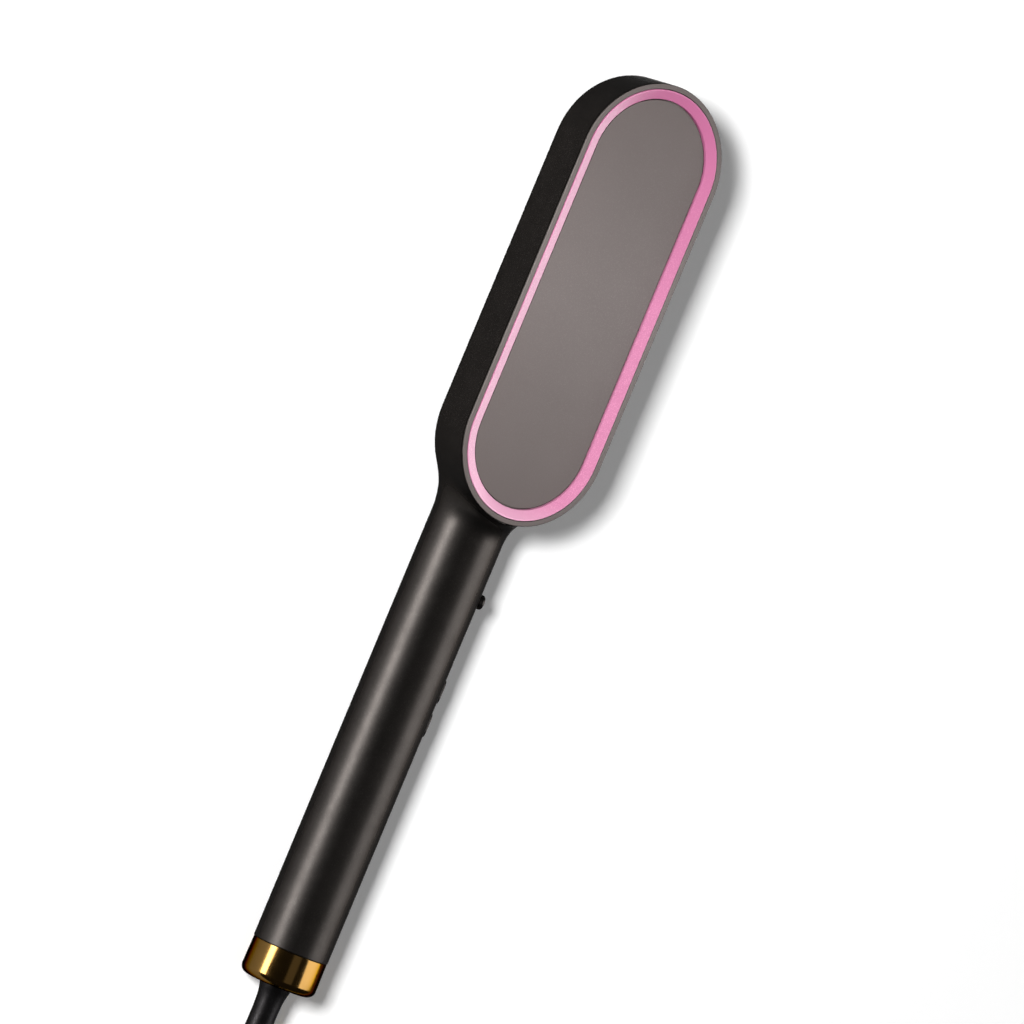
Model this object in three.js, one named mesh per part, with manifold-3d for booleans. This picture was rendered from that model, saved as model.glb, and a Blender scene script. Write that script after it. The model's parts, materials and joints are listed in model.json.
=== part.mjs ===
// Hair straightening brush lying on its teeth, in millimetres, +Z up.
// +X runs from the cord end to the top of the head, and the plain back of the head faces up.
// X is measured from the end cap's outer face until the last lines centre the whole part.
import * as THREE from 'three';
import { mergeVertices } from 'three/addons/utils/BufferGeometryUtils.js';
import Module from 'manifold-3d';

const wasm = await Module();
wasm.setup();

// Driving dimensions of the whole brush
const LENGTH = 300;
const HEAD_LENGTH = 142.8;
const HEAD_WIDTH = 49.2;
const HEAD_DEPTH = 22.9;
const END_REACH = 26.2; // how far each rounded end of the head reaches past its straight sides
const FACE_HEIGHT = 31.1; // the back face above the tips of the teeth
const HANDLE_DIAMETER = 24.4;
const WALL = 2;
const GAP = 0.3; // between pieces that touch
const SLIDE_GAP = 0.35; // round pieces that move
const MERGE = 0.4; // how far two forms of one piece run into each other

// The head's edges, and the lid on its back with the ring in the lid's groove
const COMB_EDGE_RADIUS = 5.5;
const RIM_EDGE = 0.5;
const RIM_WIDTH = 1.6;
const LID_EDGE = 0.8; // how thick the lid is over the housing's wall
const LID_THICKNESS = 2.4;
const LID_WEB = 0.9; // the lid's thickness under the ring
const LID_LIP = 0.6; // the housing's thin wall round the lid
const RING_WIDTH = 3.1;
const RING_FIT = 0.2;
const RING_REVEAL = 0.45; // the dark line between the ring and the panel inside it
const RING_SLOPE = 1.2; // how much lower the ring is at its inner edge
const RING_STEP = 0.7; // from there down to the panel
const RING_SINK = 0.1;
const RING_EDGE = 0.15;
const SEAT_WALL = 1.6;

// The neck between the handle and the head
const NECK_BLEND = 8;
const NOSE_LENGTH = 20;

// The comb side
const COMB_START = 24; // from the head's lower end to the comb opening
const COMB_MARGIN = 6.6; // from the head's outline to the comb opening
const COMB_END_ROOM = 11; // from each end of the comb opening to the rows of teeth, at least
const GUARD_THICKNESS = 2.4;
const GUARD_TOOTH_RADIUS = 1.05;
const TOOTH_TIP = 0.4; // the height of a guard tooth's rounded tip
const HOT_ROWS = 5;
const ROW_PITCH = 5.4;
const TOOTH_PITCH = 5.6;
const HOT_TOOTH_LENGTH = 3.4;
const HOT_TOOTH_THICKNESS = 1.4;
const HOT_TOOTH_SHORTER = 1.6; // the hot teeth end this far above the guard teeth
const HOT_TOOTH_TAPER = 0.5; // the tip's share of the root
const SLOT_WIDTH = 2.2;
const HOT_PLATE_THICKNESS = 2;
const HOT_PLATE_WIDTH = 30;
const HEATER_WIDTH = 14;
const HEATER_THICKNESS = 2.5;
const HEATER_SPACE = 2; // between the two heaters
const HEATER_MARGIN = 5.3; // from each end of the hot plate to the heaters
const RAIL_THICKNESS = 2; // of the two rails that hold the heaters
const FILM_THICKNESS = 0.4;
const FILM_NARROWER = 1;
const PRESSURE_PLATE_THICKNESS = 1.5;
const PRESSURE_OVERHANG = 2; // past the heaters, on every side
const PRESSURE_SLOT = [7, 3];
const PRESSURE_SLOT_PITCH = 11.5;
const SENSOR_LINE = 5; // from the middle of the pressure plate to its sensors
const FUSE_TO_MIDDLE = 26;
const FUSE_LENGTH = 11;
const FUSE_RADIUS = 1.6;
const THERMISTOR_TO_MIDDLE = 17;
const THERMISTOR_LENGTH = 5;
const THERMISTOR_RADIUS = 1.2;
const CEILING_RIB_PITCH = 34;
const CEILING_RIB_LENGTH = 29.5;
const RIB_THICKNESS = 1.6;
const SCREW_RADIUS = 1.2;
const SCREW_HEAD_RADIUS = 2.3;
const SCREW_HEAD_HEIGHT = 1.4;
const SCREW_LENGTH = 10;
const SCREW_SINK = 0.3; // the head below the comb's surface
const SCREW_FIT = 0.15;
const BOSS_RADIUS = 3.2;
const SCREW_MARGIN = 1.6; // from a screw head's recess to the comb's edge

// The handle's lower cover
const COVER_DROP = 6.1; // from the handle's axis down to the seam
const COVER_START = 34;
const COVER_TO_HEAD = 9.2; // from the cover's upper end to the head
const LIP_THICKNESS = 0.9;
const LIP_HEIGHT = 2.8;
const LIP_SHORTER = 2; // at each end of the cover

// The controls, on the side of the handle
const CONTROL_TILT = 15; // degrees above the horizontal
const POWER_TO_HEAD = 25.2; // from each control's middle to the head
const DISPLAY_TO_HEAD = 40.2;
const PLUS_TO_HEAD = 55.2;
const MINUS_TO_HEAD = 66.2;
const POWER_RADIUS = 2.3;
const POWER_RISE = 1.9;
const KEY_LENGTH = 8;
const KEY_WIDTH = 5;
const KEY_RISE = 0.5;
const WINDOW_LENGTH = 14;
const WINDOW_WIDTH = 7;
const BUTTON_FLANGE = 0.8;
const BUTTON_FLANGE_RIM = 0.9;
const BUTTON_TRAVEL = 0.5;

// The circuit board and what it carries
const BOARD_START = 38;
const BOARD_TO_COVER_END = 2; // from the board's upper end to the cover's
const BOARD_WIDTH = 15;
const BOARD_THICKNESS = 1.6;
const BOARD_TOP = -0.4; // from the handle's axis towards the buttons
const BOARD_HOLD_INSET = [14, 10]; // from the board's ends to the ribs and posts that hold it
const HOLD_LENGTH = 4;
const HOLD_BITE = 1.5; // how far the ribs reach over the board
const POST_Y = [-3.4, 1.8];
const SWITCH_SIZE = 6;
const SWITCH_HEIGHT = 3.4;
const PLUNGER_RADIUS = 1.6;
const PLUNGER_HEIGHT = 0.8;
const LEAD_RADIUS = 0.8;
const LEAD_SPREAD = 2.6; // from the middle to each lead in the handle
const LEAD_TO_BOSS = 0.9; // from each heater lead to the screw posts

// The end cap and the swivel in it
const CAP_HEIGHT = 11.4;
const CAP_TOP_RADIUS = 12.05;
const CAP_BASE_RADIUS = 12.2;
const CAP_CORNER = 2.6;
const CAP_EDGE = 0.15; // of its upper rim, which meets the handle
const CAP_WALL = 1.4;
const CAP_SKIN = 1.55; // the thickness of its upright side
const SOCKET_START = 1.8;
const SOCKET_STOP = 30;
const SOCKET_FRONT = 8;
const SOCKET_POCKET = 8.2;
const SOCKET_EDGE = 0.6;
const JOURNAL_RADIUS = 5;
const COLLAR_RADIUS = 7.8;
const COLLAR_THICKNESS = 2.2;
const STUB_RADIUS = 4.6;
const STUB_STOP = 27;
const SLIP_RING_RADIUS = 6;
const SLIP_RING_WIDTH = 3;
const SLIP_RING_PLACES = [13, 19];
const SPRING_WIDTH = 3.2;
const SWIVEL_COVER_THICKNESS = 2;

// The strain relief and the cord
const RELIEF_LENGTH = 38;
const RELIEF_BASE_RADIUS = 5.1;
const RELIEF_RADIUS = 4.1;
const RELIEF_TIP_RADIUS = 3.5;
const RELIEF_GROOVES = 6;
const RELIEF_GROOVE_DEPTH = 0.7;
const RELIEF_PLAIN = 15; // before the first groove
const RELIEF_END = 3; // past the last groove
const CORD_DIAMETER = 5.6;
const HANK_RUN = 84; // fifteen cord diameters
const HANK_FOLD = 17; // the innermost fold's radius, three cord diameters
const HANK_STEP = 7.4; // from one loop to the next
const HANK_LAYER = 6.2; // from one layer to the next
const HANK_LAYERS = 4;
const HANK_WAIST = 9; // how far each run is drawn in
const HANK_X = -167;
const HANK_STEPS = 24; // round one loop
const TIE_WIDTH = 9;
const TIE_THICKNESS = 0.8;
const PLUG_Y = -24.4;
const PLUG_START = -70;
const PLUG_LENGTH = 36;
const PLUG_WIDTH = 26;
const PLUG_HEIGHT = 14;
const PIN_RADIUS = 2;
const PIN_LENGTH = 18;
const PIN_DEPTH = 8;
const PIN_SPREAD = 19;

// The free stretches of the cord, chosen by hand, from the strain relief and to the plug
const CORD_POINTS = [
  [-38.3, 0, 12.2], [-47, 0, 12.1], [-56, 0.6, 11.2], [-65, 2.6, 9.2], [-74, 6, 6.8], [-83, 10.4, 4.6],
  [-92, 15, 3.3], [-101, 19.4, 2.84], [-109, 22.4, 2.84], [-117, 24.1, 2.82], [-124.7, 24.4, 2.8],
];
const TAIL_POINTS = [
  [-124.7, -24.4, 21.4], [-119, -24.4, 21.3], [-112, -24.4, 20.3], [-104, -24.4, 17.6], [-96, -24.4, 13.8],
  [-88, -24.4, 10.2], [-81, -24.4, 7.9], [-75.5, -24.4, 7.1], [-70.3, -24.4, 7],
];

// Facets
const END_STEPS = 24;
const ROUND_STEPS = 36;
const TURNED_STEPS = 18;
const SMALL_STEPS = 12;
const TOOTH_STEPS = 6;
const INNER_STEPS = 12; // round an end of a hidden hollow

// Places that follow from the sizes above
const HANDLE_RADIUS = HANDLE_DIAMETER / 2;
const AXIS_Z = HANDLE_RADIUS;
const HEAD_START = LENGTH - HEAD_LENGTH;
const HEAD_X = LENGTH - HEAD_LENGTH / 2;
const COMB_SIDE_Z = FACE_HEIGHT - HEAD_DEPTH;
const WALL_TOP = FACE_HEIGHT - LID_EDGE - GAP;
const LID_TOP = FACE_HEIGHT - RING_SINK - RING_SLOPE - RING_STEP; // inside the ring
const LID_BOTTOM = LID_TOP - LID_THICKNESS;
const RING_BOTTOM = LID_BOTTOM + LID_WEB + GAP;
const SEAT_Z = LID_BOTTOM - GAP;
const CEILING_Z = SEAT_Z - SEAT_WALL;
const FLOOR_Z = COMB_SIDE_Z + GUARD_THICKNESS;
const BORE_RADIUS = HANDLE_RADIUS - WALL;
const HANDLE_START = CAP_HEIGHT + GAP;
const HOT_PLATE_Z = FLOOR_Z + GAP;
const HEATER_Z = HOT_PLATE_Z + HOT_PLATE_THICKNESS + GAP;
const FILM_Z = HEATER_Z + HEATER_THICKNESS + GAP;
const PRESSURE_Z = FILM_Z + FILM_THICKNESS + GAP;
const PRESSURE_TOP = PRESSURE_Z + PRESSURE_PLATE_THICKNESS;
const COMB_X0 = HEAD_START + COMB_START;
const COMB_X1 = LENGTH - COMB_MARGIN;
const COMB_X = (COMB_X0 + COMB_X1) / 2;
const COMB_HALF_WIDTH = HEAD_WIDTH / 2 - COMB_MARGIN;
const COMB_END_REACH = END_REACH - COMB_MARGIN;
const TEETH_PER_ROW = Math.floor((COMB_X1 - COMB_X0 - 2 * COMB_END_ROOM) / TOOTH_PITCH);
const TEETH_LENGTH = TOOTH_PITCH * TEETH_PER_ROW;
const HOT_PLATE_LENGTH = TEETH_LENGTH + 3;
const HEATERS_LENGTH = HOT_PLATE_LENGTH - 2 * HEATER_MARGIN; // both, with the space between them
const HEATER_LENGTH = (HEATERS_LENGTH - HEATER_SPACE) / 2;
const COMB_SCREW_REACH = HOT_PLATE_LENGTH / 2 + BOSS_RADIUS + 1;
const COMB_SCREW_X = [COMB_X - COMB_SCREW_REACH, COMB_X + COMB_SCREW_REACH];
const COMB_SCREW_Y = combWidthAt(COMB_SCREW_REACH) - SCREW_HEAD_RADIUS - SCREW_MARGIN - GAP;
const HEATER_LEAD_Y = COMB_SCREW_Y - BOSS_RADIUS - LEAD_TO_BOSS - LEAD_RADIUS;
const COVER_STOP = HEAD_START - COVER_TO_HEAD;
const POWER_X = HEAD_START - POWER_TO_HEAD;
const DISPLAY_X = HEAD_START - DISPLAY_TO_HEAD;
const PLUS_X = HEAD_START - PLUS_TO_HEAD;
const MINUS_X = HEAD_START - MINUS_TO_HEAD;
const BOARD_STOP = COVER_STOP - BOARD_TO_COVER_END;
const BOARD_LENGTH = BOARD_STOP - BOARD_START;
const BOARD_HOLDS = [BOARD_START + BOARD_HOLD_INSET[0], BOARD_STOP - BOARD_HOLD_INSET[1]];
const CORD_RADIUS = CORD_DIAMETER / 2;

// Solids and meshes

// A closed geometry as a solid with its faces pointing out.
function solid(geometry) {
  const bare = geometry.clone();
  bare.deleteAttribute('normal');
  bare.deleteAttribute('uv');
  const merged = mergeVertices(bare, 1e-5);
  const triangles = [];
  for (let i = 0; i < merged.index.count; i += 3) {
    const [a, b, c] = [0, 1, 2].map((k) => merged.index.getX(i + k));
    if (a !== b && b !== c && c !== a) triangles.push(a, b, c);
  }
  const vertProperties = new Float32Array(merged.attributes.position.array);
  const make = () => {
    const triVerts = new Uint32Array(triangles);
    return new wasm.Manifold(new wasm.Mesh({ numProp: 3, vertProperties, triVerts }));
  };
  const made = make();
  if (made.volume() > 0) return made;
  triangles.reverse();
  return make();
}

function geometryOf(shape) {
  const mesh = shape.getMesh();
  const geometry = new THREE.BufferGeometry();
  const positions = new Float32Array(mesh.numVert * 3);
  for (let i = 0; i < mesh.numVert; i++) {
    for (let k = 0; k < 3; k++) positions[3 * i + k] = mesh.vertProperties[mesh.numProp * i + k];
  }
  geometry.setAttribute('position', new THREE.BufferAttribute(positions, 3));
  geometry.setIndex(new THREE.BufferAttribute(new Uint32Array(mesh.triVerts), 1));
  geometry.computeVertexNormals();
  return geometry;
}

function union(...shapes) {
  return shapes.reduce((all, next) => all.add(next));
}

// A solid through rings of points that all have the same count, closed by a fan at each end.
function loft(rings) {
  const count = rings[0].length;
  const positions = [];
  const index = [];
  for (const ring of rings) {
    for (const p of ring) positions.push(p.x, p.y, p.z);
  }
  for (let r = 0; r + 1 < rings.length; r++) {
    for (let i = 0; i < count; i++) {
      const a = r * count + i;
      const b = r * count + ((i + 1) % count);
      index.push(a, b, b + count, a, b + count, a + count);
    }
  }
  const ends = [[rings[0], 0, true], [rings.at(-1), (rings.length - 1) * count, false]];
  for (const [ring, first, flip] of ends) {
    const middle = positions.length / 3;
    const centre = ring.reduce((sum, p) => sum.add(p), new THREE.Vector3()).divideScalar(count);
    positions.push(centre.x, centre.y, centre.z);
    for (let i = 0; i < count; i++) {
      const [a, b] = [first + i, first + ((i + 1) % count)];
      index.push(middle, flip ? b : a, flip ? a : b);
    }
  }
  const geometry = new THREE.BufferGeometry();
  geometry.setAttribute('position', new THREE.Float32BufferAttribute(positions, 3));
  geometry.setIndex(index);
  return solid(geometry);
}

// A closed band: its section's points, each an inset and a height, follow the head's outline.
function band(section) {
  const rows = section.map(([inset, z]) => headOutline(inset).map((p) => new THREE.Vector3(p.x, p.y, z)));
  const count = rows[0].length;
  const positions = rows.flat().flatMap((p) => [p.x, p.y, p.z]);
  const index = [];
  for (let r = 0; r < rows.length; r++) {
    const [here, next] = [r * count, ((r + 1) % rows.length) * count];
    for (let i = 0; i < count; i++) {
      const j = (i + 1) % count;
      index.push(here + i, here + j, next + j, here + i, next + j, next + i);
    }
  }
  const geometry = new THREE.BufferGeometry();
  geometry.setAttribute('position', new THREE.Float32BufferAttribute(positions, 3));
  geometry.setIndex(index);
  return solid(geometry);
}

function box(x0, x1, y0, y1, z0, z1) {
  return solid(new THREE.BoxGeometry(x1 - x0, y1 - y0, z1 - z0)
    .translate((x0 + x1) / 2, (y0 + y1) / 2, (z0 + z1) / 2));
}

// A box by its middle and its size along each axis.
function block([x, y, z], [length, width, height]) {
  return solid(new THREE.BoxGeometry(length, width, height).translate(x, y, z));
}

function upright(x, y, radius, z0, z1, steps = SMALL_STEPS) {
  return solid(new THREE.CylinderGeometry(radius, radius, z1 - z0, steps)
    .rotateX(Math.PI / 2).translate(x, y, (z0 + z1) / 2));
}

// A turned piece about a line along X, from pairs of a place on the line and a radius.
function turned(profile, { y = 0, z = AXIS_Z, steps = ROUND_STEPS } = {}) {
  const points = profile.map(([x, radius]) => new THREE.Vector2(radius, x));
  return solid(new THREE.LatheGeometry(points, steps).rotateZ(-Math.PI / 2).translate(0, y, z));
}

function flatOutline(points, z0, z1) {
  const shape = new THREE.Shape(points);
  const geometry = new THREE.ExtrudeGeometry(shape, { depth: z1 - z0, bevelEnabled: false });
  return solid(geometry.translate(0, 0, z0));
}

// Points round an outline with straight sides along X and elliptical ends.
function stadium(centreX, halfWidth, endReach, halfStraight, steps = END_STEPS) {
  const points = [];
  for (const side of [1, -1]) {
    for (let i = 0; i <= steps; i++) {
      const angle = -Math.PI / 2 + Math.PI * i / steps;
      const x = centreX + side * (halfStraight + endReach * Math.cos(angle));
      points.push(new THREE.Vector2(x, side * halfWidth * Math.sin(angle)));
    }
  }
  return points;
}

function headOutline(inset, steps = END_STEPS) {
  return stadium(HEAD_X, HEAD_WIDTH / 2 - inset, END_REACH - inset, HEAD_LENGTH / 2 - END_REACH, steps);
}

// Half the comb opening's width at a distance along X from its middle.
function combWidthAt(distance) {
  const past = Math.max(distance - (COMB_X1 - COMB_X0) / 2 + COMB_END_REACH, 0);
  return COMB_HALF_WIDTH * Math.sqrt(Math.max(1 - (past / COMB_END_REACH) ** 2, 0));
}

function combOutline(inset) {
  const halfStraight = (COMB_X1 - COMB_X0) / 2 - COMB_END_REACH;
  return stadium(COMB_X, COMB_HALF_WIDTH - inset, COMB_END_REACH - inset, halfStraight);
}

// A solid through insets of the head's outline at given heights.
function headLevels(levels, steps) {
  const raise = (z) => (p) => new THREE.Vector3(p.x, p.y, z);
  return loft(levels.map(([z, inset]) => headOutline(inset, steps).map(raise(z))));
}

// A round tube along points, cut square at both ends.
function tube(points, radius, stepLength, sides) {
  const stops = points.map((p) => new THREE.Vector3(...p));
  const curve = new THREE.CatmullRomCurve3(stops, false, 'centripetal');
  const section = new THREE.Shape();
  for (let i = 0; i < sides; i++) {
    const angle = 2 * Math.PI * i / sides;
    const [x, y] = [radius * Math.cos(angle), radius * Math.sin(angle)];
    if (i === 0) section.moveTo(x, y);
    else section.lineTo(x, y);
  }
  const steps = Math.max(2, Math.round(curve.getLength() / stepLength));
  return solid(new THREE.ExtrudeGeometry(section, { steps, bevelEnabled: false, extrudePath: curve }));
}

// The head's outer form under the lid: upright walls and a rounded comb edge.
function headForm() {
  const levels = [[WALL_TOP, 0]];
  const steps = 6;
  for (let i = 0; i <= steps; i++) {
    const angle = Math.PI / 2 * i / steps;
    const z = COMB_SIDE_Z + COMB_EDGE_RADIUS * (1 - Math.sin(angle));
    levels.push([z, COMB_EDGE_RADIUS * (1 - Math.cos(angle))]);
  }
  return headLevels(levels);
}

// How far a point lies outside the head's form, about.
function outsideHead(x, y, z) {
  const past = Math.max(Math.abs(x - HEAD_X) - (HEAD_LENGTH / 2 - END_REACH), 0);
  const wall = (Math.hypot(past / END_REACH, y / (HEAD_WIDTH / 2)) - 1) * HEAD_WIDTH / 2;
  const [a, b] = [wall + COMB_EDGE_RADIUS, COMB_SIDE_Z + COMB_EDGE_RADIUS - z];
  const beyond = Math.hypot(Math.max(a, 0), Math.max(b, 0)) + Math.min(Math.max(a, b), 0);
  return Math.max(beyond - COMB_EDGE_RADIUS, z - FACE_HEIGHT);
}

// How far a point lies outside the handle, whose end inside the head is a long rounded nose.
function outsideHandle(x, y, z) {
  const past = Math.max(x - HEAD_START, 0) * HANDLE_RADIUS / NOSE_LENGTH;
  return Math.hypot(past, y, z - AXIS_Z) - HANDLE_RADIUS;
}

// The two forms run into each other in a soft hollow.
function outsideBoth(x, y, z) {
  const [a, b] = [outsideHead(x, y, z), outsideHandle(x, y, z)];
  const near = Math.max(NECK_BLEND - Math.abs(a - b), 0) / NECK_BLEND;
  return Math.min(a, b) - near * near * NECK_BLEND / 4;
}

// The handle and neck as rings round the handle's axis.
function neckForm() {
  const places = [-11, -8, -5.8, -4, -2.6, -1.6, -0.8, -0.2, 0.5, 1.6, 3, 5, 7.5, 10.5, 14, 18, 23, 29];
  const stations = [HANDLE_START, ...places.map((d) => HEAD_START + d)];
  const top = WALL_TOP - 0.2 - AXIS_Z;
  return loft(stations.map((x) => {
    const sunk = 0.6 * Math.max(x - HEAD_START - 14, 0) / 15;
    return Array.from({ length: ROUND_STEPS }, (_, i) => {
      const angle = 2 * Math.PI * i / ROUND_STEPS;
      const [cos, sin] = [Math.cos(angle), Math.sin(angle)];
      let [inside, outside] = [0, HEAD_WIDTH];
      for (let r = HEAD_WIDTH; r > 0; r -= 0.5) {
        if (outsideBoth(x, r * cos, AXIS_Z + r * sin) < 0) {
          [inside, outside] = [r, r + 0.5];
          break;
        }
      }
      for (let k = 0; k < 20; k++) {
        const r = (inside + outside) / 2;
        if (outsideBoth(x, r * cos, AXIS_Z + r * sin) < 0) inside = r;
        else outside = r;
      }
      const radius = (sin > 0 ? Math.min(inside, top / sin) : inside) - sunk;
      return new THREE.Vector3(x, radius * cos, AXIS_Z + radius * sin);
    });
  }));
}

// The bore of the handle, with a rounded end under the head.
function handleBore() {
  const profile = [[HANDLE_START - 1, 0], [HANDLE_START - 1, BORE_RADIUS]];
  const steps = 6;
  for (let i = 0; i <= steps; i++) {
    const angle = Math.PI / 2 * i / steps;
    profile.push([HEAD_START + (NOSE_LENGTH - WALL) * Math.sin(angle), BORE_RADIUS * Math.cos(angle)]);
  }
  profile.at(-1)[1] = 0;
  return turned(profile, { steps: TURNED_STEPS });
}

// Pieces round the controls are made upright on the handle's axis and then turned to its side.
function toControls(shape) {
  const turn = new THREE.Matrix4().makeRotationX(THREE.MathUtils.degToRad(90 - CONTROL_TILT));
  const place = new THREE.Matrix4().makeTranslation(0, 0, AXIS_Z).multiply(turn);
  return solid(geometryOf(shape).applyMatrix4(place));
}

function pill(x, length, width, z0, z1) {
  return flatOutline(stadium(x, width / 2, width / 2, (length - width) / 2, 8), z0, z1);
}

// The openings in the handle's wall for the buttons and the display window.
function controlOpenings() {
  const [from, to] = [BORE_RADIUS - 4, HANDLE_RADIUS + 2];
  const gap = SLIDE_GAP;
  return toControls(union(
    upright(POWER_X, 0, POWER_RADIUS + gap, from, to, 20),
    pill(PLUS_X, KEY_LENGTH + 2 * gap, KEY_WIDTH + 2 * gap, from, to),
    pill(MINUS_X, KEY_LENGTH + 2 * gap, KEY_WIDTH + 2 * gap, from, to),
    pill(DISPLAY_X, WINDOW_LENGTH + 2 * GAP, WINDOW_WIDTH + 2 * GAP, from, to),
  ));
}

const combScrews = COMB_SCREW_X.flatMap((x) => [1, -1].map((side) => [x, side * COMB_SCREW_Y]));
const headSolid = headForm();
const neckSolid = neckForm();
const bore = handleBore();

function mainHousing() {
  const innerEdge = COMB_EDGE_RADIUS - WALL;
  const cavity = headLevels([
    [CEILING_Z, WALL], [COMB_SIDE_Z + COMB_EDGE_RADIUS, WALL], [FLOOR_Z + 0.8, WALL + innerEdge * 0.4],
    [FLOOR_Z, WALL + innerEdge * 0.85],
  ], INNER_STEPS);
  const seat = headLevels([[FACE_HEIGHT, LID_LIP], [SEAT_Z, LID_LIP]]);
  const combOpening = flatOutline(combOutline(0), -1, FLOOR_Z + 1);
  const reach = HANDLE_RADIUS + 1;
  const coverOpening = box(COVER_START, COVER_STOP, -reach, reach, -1, AXIS_Z - COVER_DROP);
  let housing = union(headSolid, neckSolid)
    .subtract(union(cavity, bore)).subtract(seat).subtract(combOpening).subtract(coverOpening);
  for (const [x, y] of combScrews) {
    housing = housing.add(upright(x, y, BOSS_RADIUS, FLOOR_Z + GAP, CEILING_Z + MERGE));
  }
  for (const step of [-1, 0, 1]) {
    const x = COMB_X + step * CEILING_RIB_PITCH;
    const [x0, x1, y] = [x - RIB_THICKNESS / 2, x + RIB_THICKNESS / 2, CEILING_RIB_LENGTH / 2];
    housing = housing.add(box(x0, x1, -y, y, PRESSURE_TOP + GAP, CEILING_Z + MERGE));
  }
  for (const x of [...BOARD_HOLDS, (BOARD_START + BOARD_STOP) / 2]) {
    housing = housing.add(toControls(boardRib(x)).intersect(neckSolid));
  }
  for (const [x, y] of combScrews) {
    housing = housing.subtract(upright(x, y, SCREW_RADIUS + SCREW_FIT, FLOOR_Z, FLOOR_Z + SCREW_LENGTH));
  }
  return housing.subtract(controlOpenings());
}

// A rib that holds the board's upper edge, from the wall of the handle.
function boardRib(x) {
  const [edge, half] = [BOARD_WIDTH / 2, BOARD_THICKNESS / 2 + GAP];
  const middle = BOARD_TOP - BOARD_THICKNESS / 2;
  const [low, high] = [middle - half - WALL, middle + half + WALL];
  const rib = box(x - HOLD_LENGTH / 2, x + HOLD_LENGTH / 2, edge - HOLD_BITE, BORE_RADIUS + MERGE, low, high);
  return rib.subtract(box(x - HOLD_LENGTH, x + HOLD_LENGTH, 0, edge + GAP, middle - half, middle + half));
}

function handleCover() {
  const seam = AXIS_Z - COVER_DROP;
  const [x0, x1] = [COVER_START + GAP, COVER_STOP - GAP];
  const reach = HANDLE_RADIUS + 1;
  let cover = neckSolid.intersect(box(x0, x1, -reach, reach, -1, seam - GAP)).subtract(bore);
  const lipEdge = Math.sqrt(BORE_RADIUS ** 2 - COVER_DROP ** 2) - GAP;
  for (const side of [1, -1]) {
    const [y0, y1] = side > 0 ? [lipEdge - LIP_THICKNESS, lipEdge] : [-lipEdge, -lipEdge + LIP_THICKNESS];
    const [z0, z1] = [seam - LIP_HEIGHT / 2, seam + LIP_HEIGHT / 2];
    cover = cover.add(box(x0 + LIP_SHORTER, x1 - LIP_SHORTER, y0, y1, z0, z1));
  }
  for (const x of BOARD_HOLDS) {
    const [foot, top] = [AXIS_Z - BORE_RADIUS - MERGE, AXIS_Z - BOARD_WIDTH / 2 - GAP];
    const post = box(x - HOLD_LENGTH / 2, x + HOLD_LENGTH / 2, POST_Y[0], POST_Y[1], foot, top);
    cover = cover.add(post.intersect(neckSolid));
  }
  return cover;
}

function trimRing() {
  const outer = RIM_WIDTH + RING_FIT;
  const inner = outer + RING_WIDTH;
  const high = FACE_HEIGHT - RING_SINK;
  const low = high - RING_SLOPE;
  return band([
    [outer, RING_BOTTOM], [outer, high - RING_EDGE], [outer + RING_EDGE, high],
    [inner - RING_EDGE, low], [inner, low - RING_EDGE], [inner, RING_BOTTOM],
  ]);
}

// The lid: a flat face, a groove for the ring round it, and a rim that covers the housing's wall.
function backPanel() {
  const inner = RIM_WIDTH + RING_FIT + RING_WIDTH + RING_REVEAL;
  const skirt = LID_LIP + GAP;
  const groove = RING_BOTTOM - GAP;
  const rim = band([
    [0, FACE_HEIGHT - LID_EDGE], [0, FACE_HEIGHT - RIM_EDGE], [RIM_EDGE * 0.3, FACE_HEIGHT - RIM_EDGE * 0.3],
    [RIM_EDGE, FACE_HEIGHT], [RIM_WIDTH, FACE_HEIGHT], [RIM_WIDTH, groove], [inner, groove],
    [inner, LID_BOTTOM], [skirt, LID_BOTTOM], [skirt, FACE_HEIGHT - LID_EDGE],
  ]);
  const face = headLevels([
    [LID_TOP, inner + RING_EDGE], [LID_TOP - RING_EDGE, inner], [groove, inner],
    [groove - LID_WEB / 3, inner - MERGE], [LID_BOTTOM, inner - MERGE],
  ]);
  return rim.add(face);
}

// The places of a row of teeth along X, and of the rows across.
function toothPlaces(count) {
  return Array.from({ length: count }, (_, i) => COMB_X + (i - (count - 1) / 2) * TOOTH_PITCH);
}

function rowPlaces(count) {
  return Array.from({ length: count }, (_, i) => (i - (count - 1) / 2) * ROW_PITCH);
}

// A slender cone with a rounded tip, pointing down.
function guardTooth(x, y) {
  const r = GUARD_TOOTH_RADIUS;
  const root = COMB_SIDE_Z + MERGE;
  const points = [[0, 0], [r * 0.55, TOOTH_TIP], [r, root], [0, root]].map((p) => new THREE.Vector2(...p));
  return solid(new THREE.LatheGeometry(points, TOOTH_STEPS).rotateX(Math.PI / 2).translate(x, y, 0));
}

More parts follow.
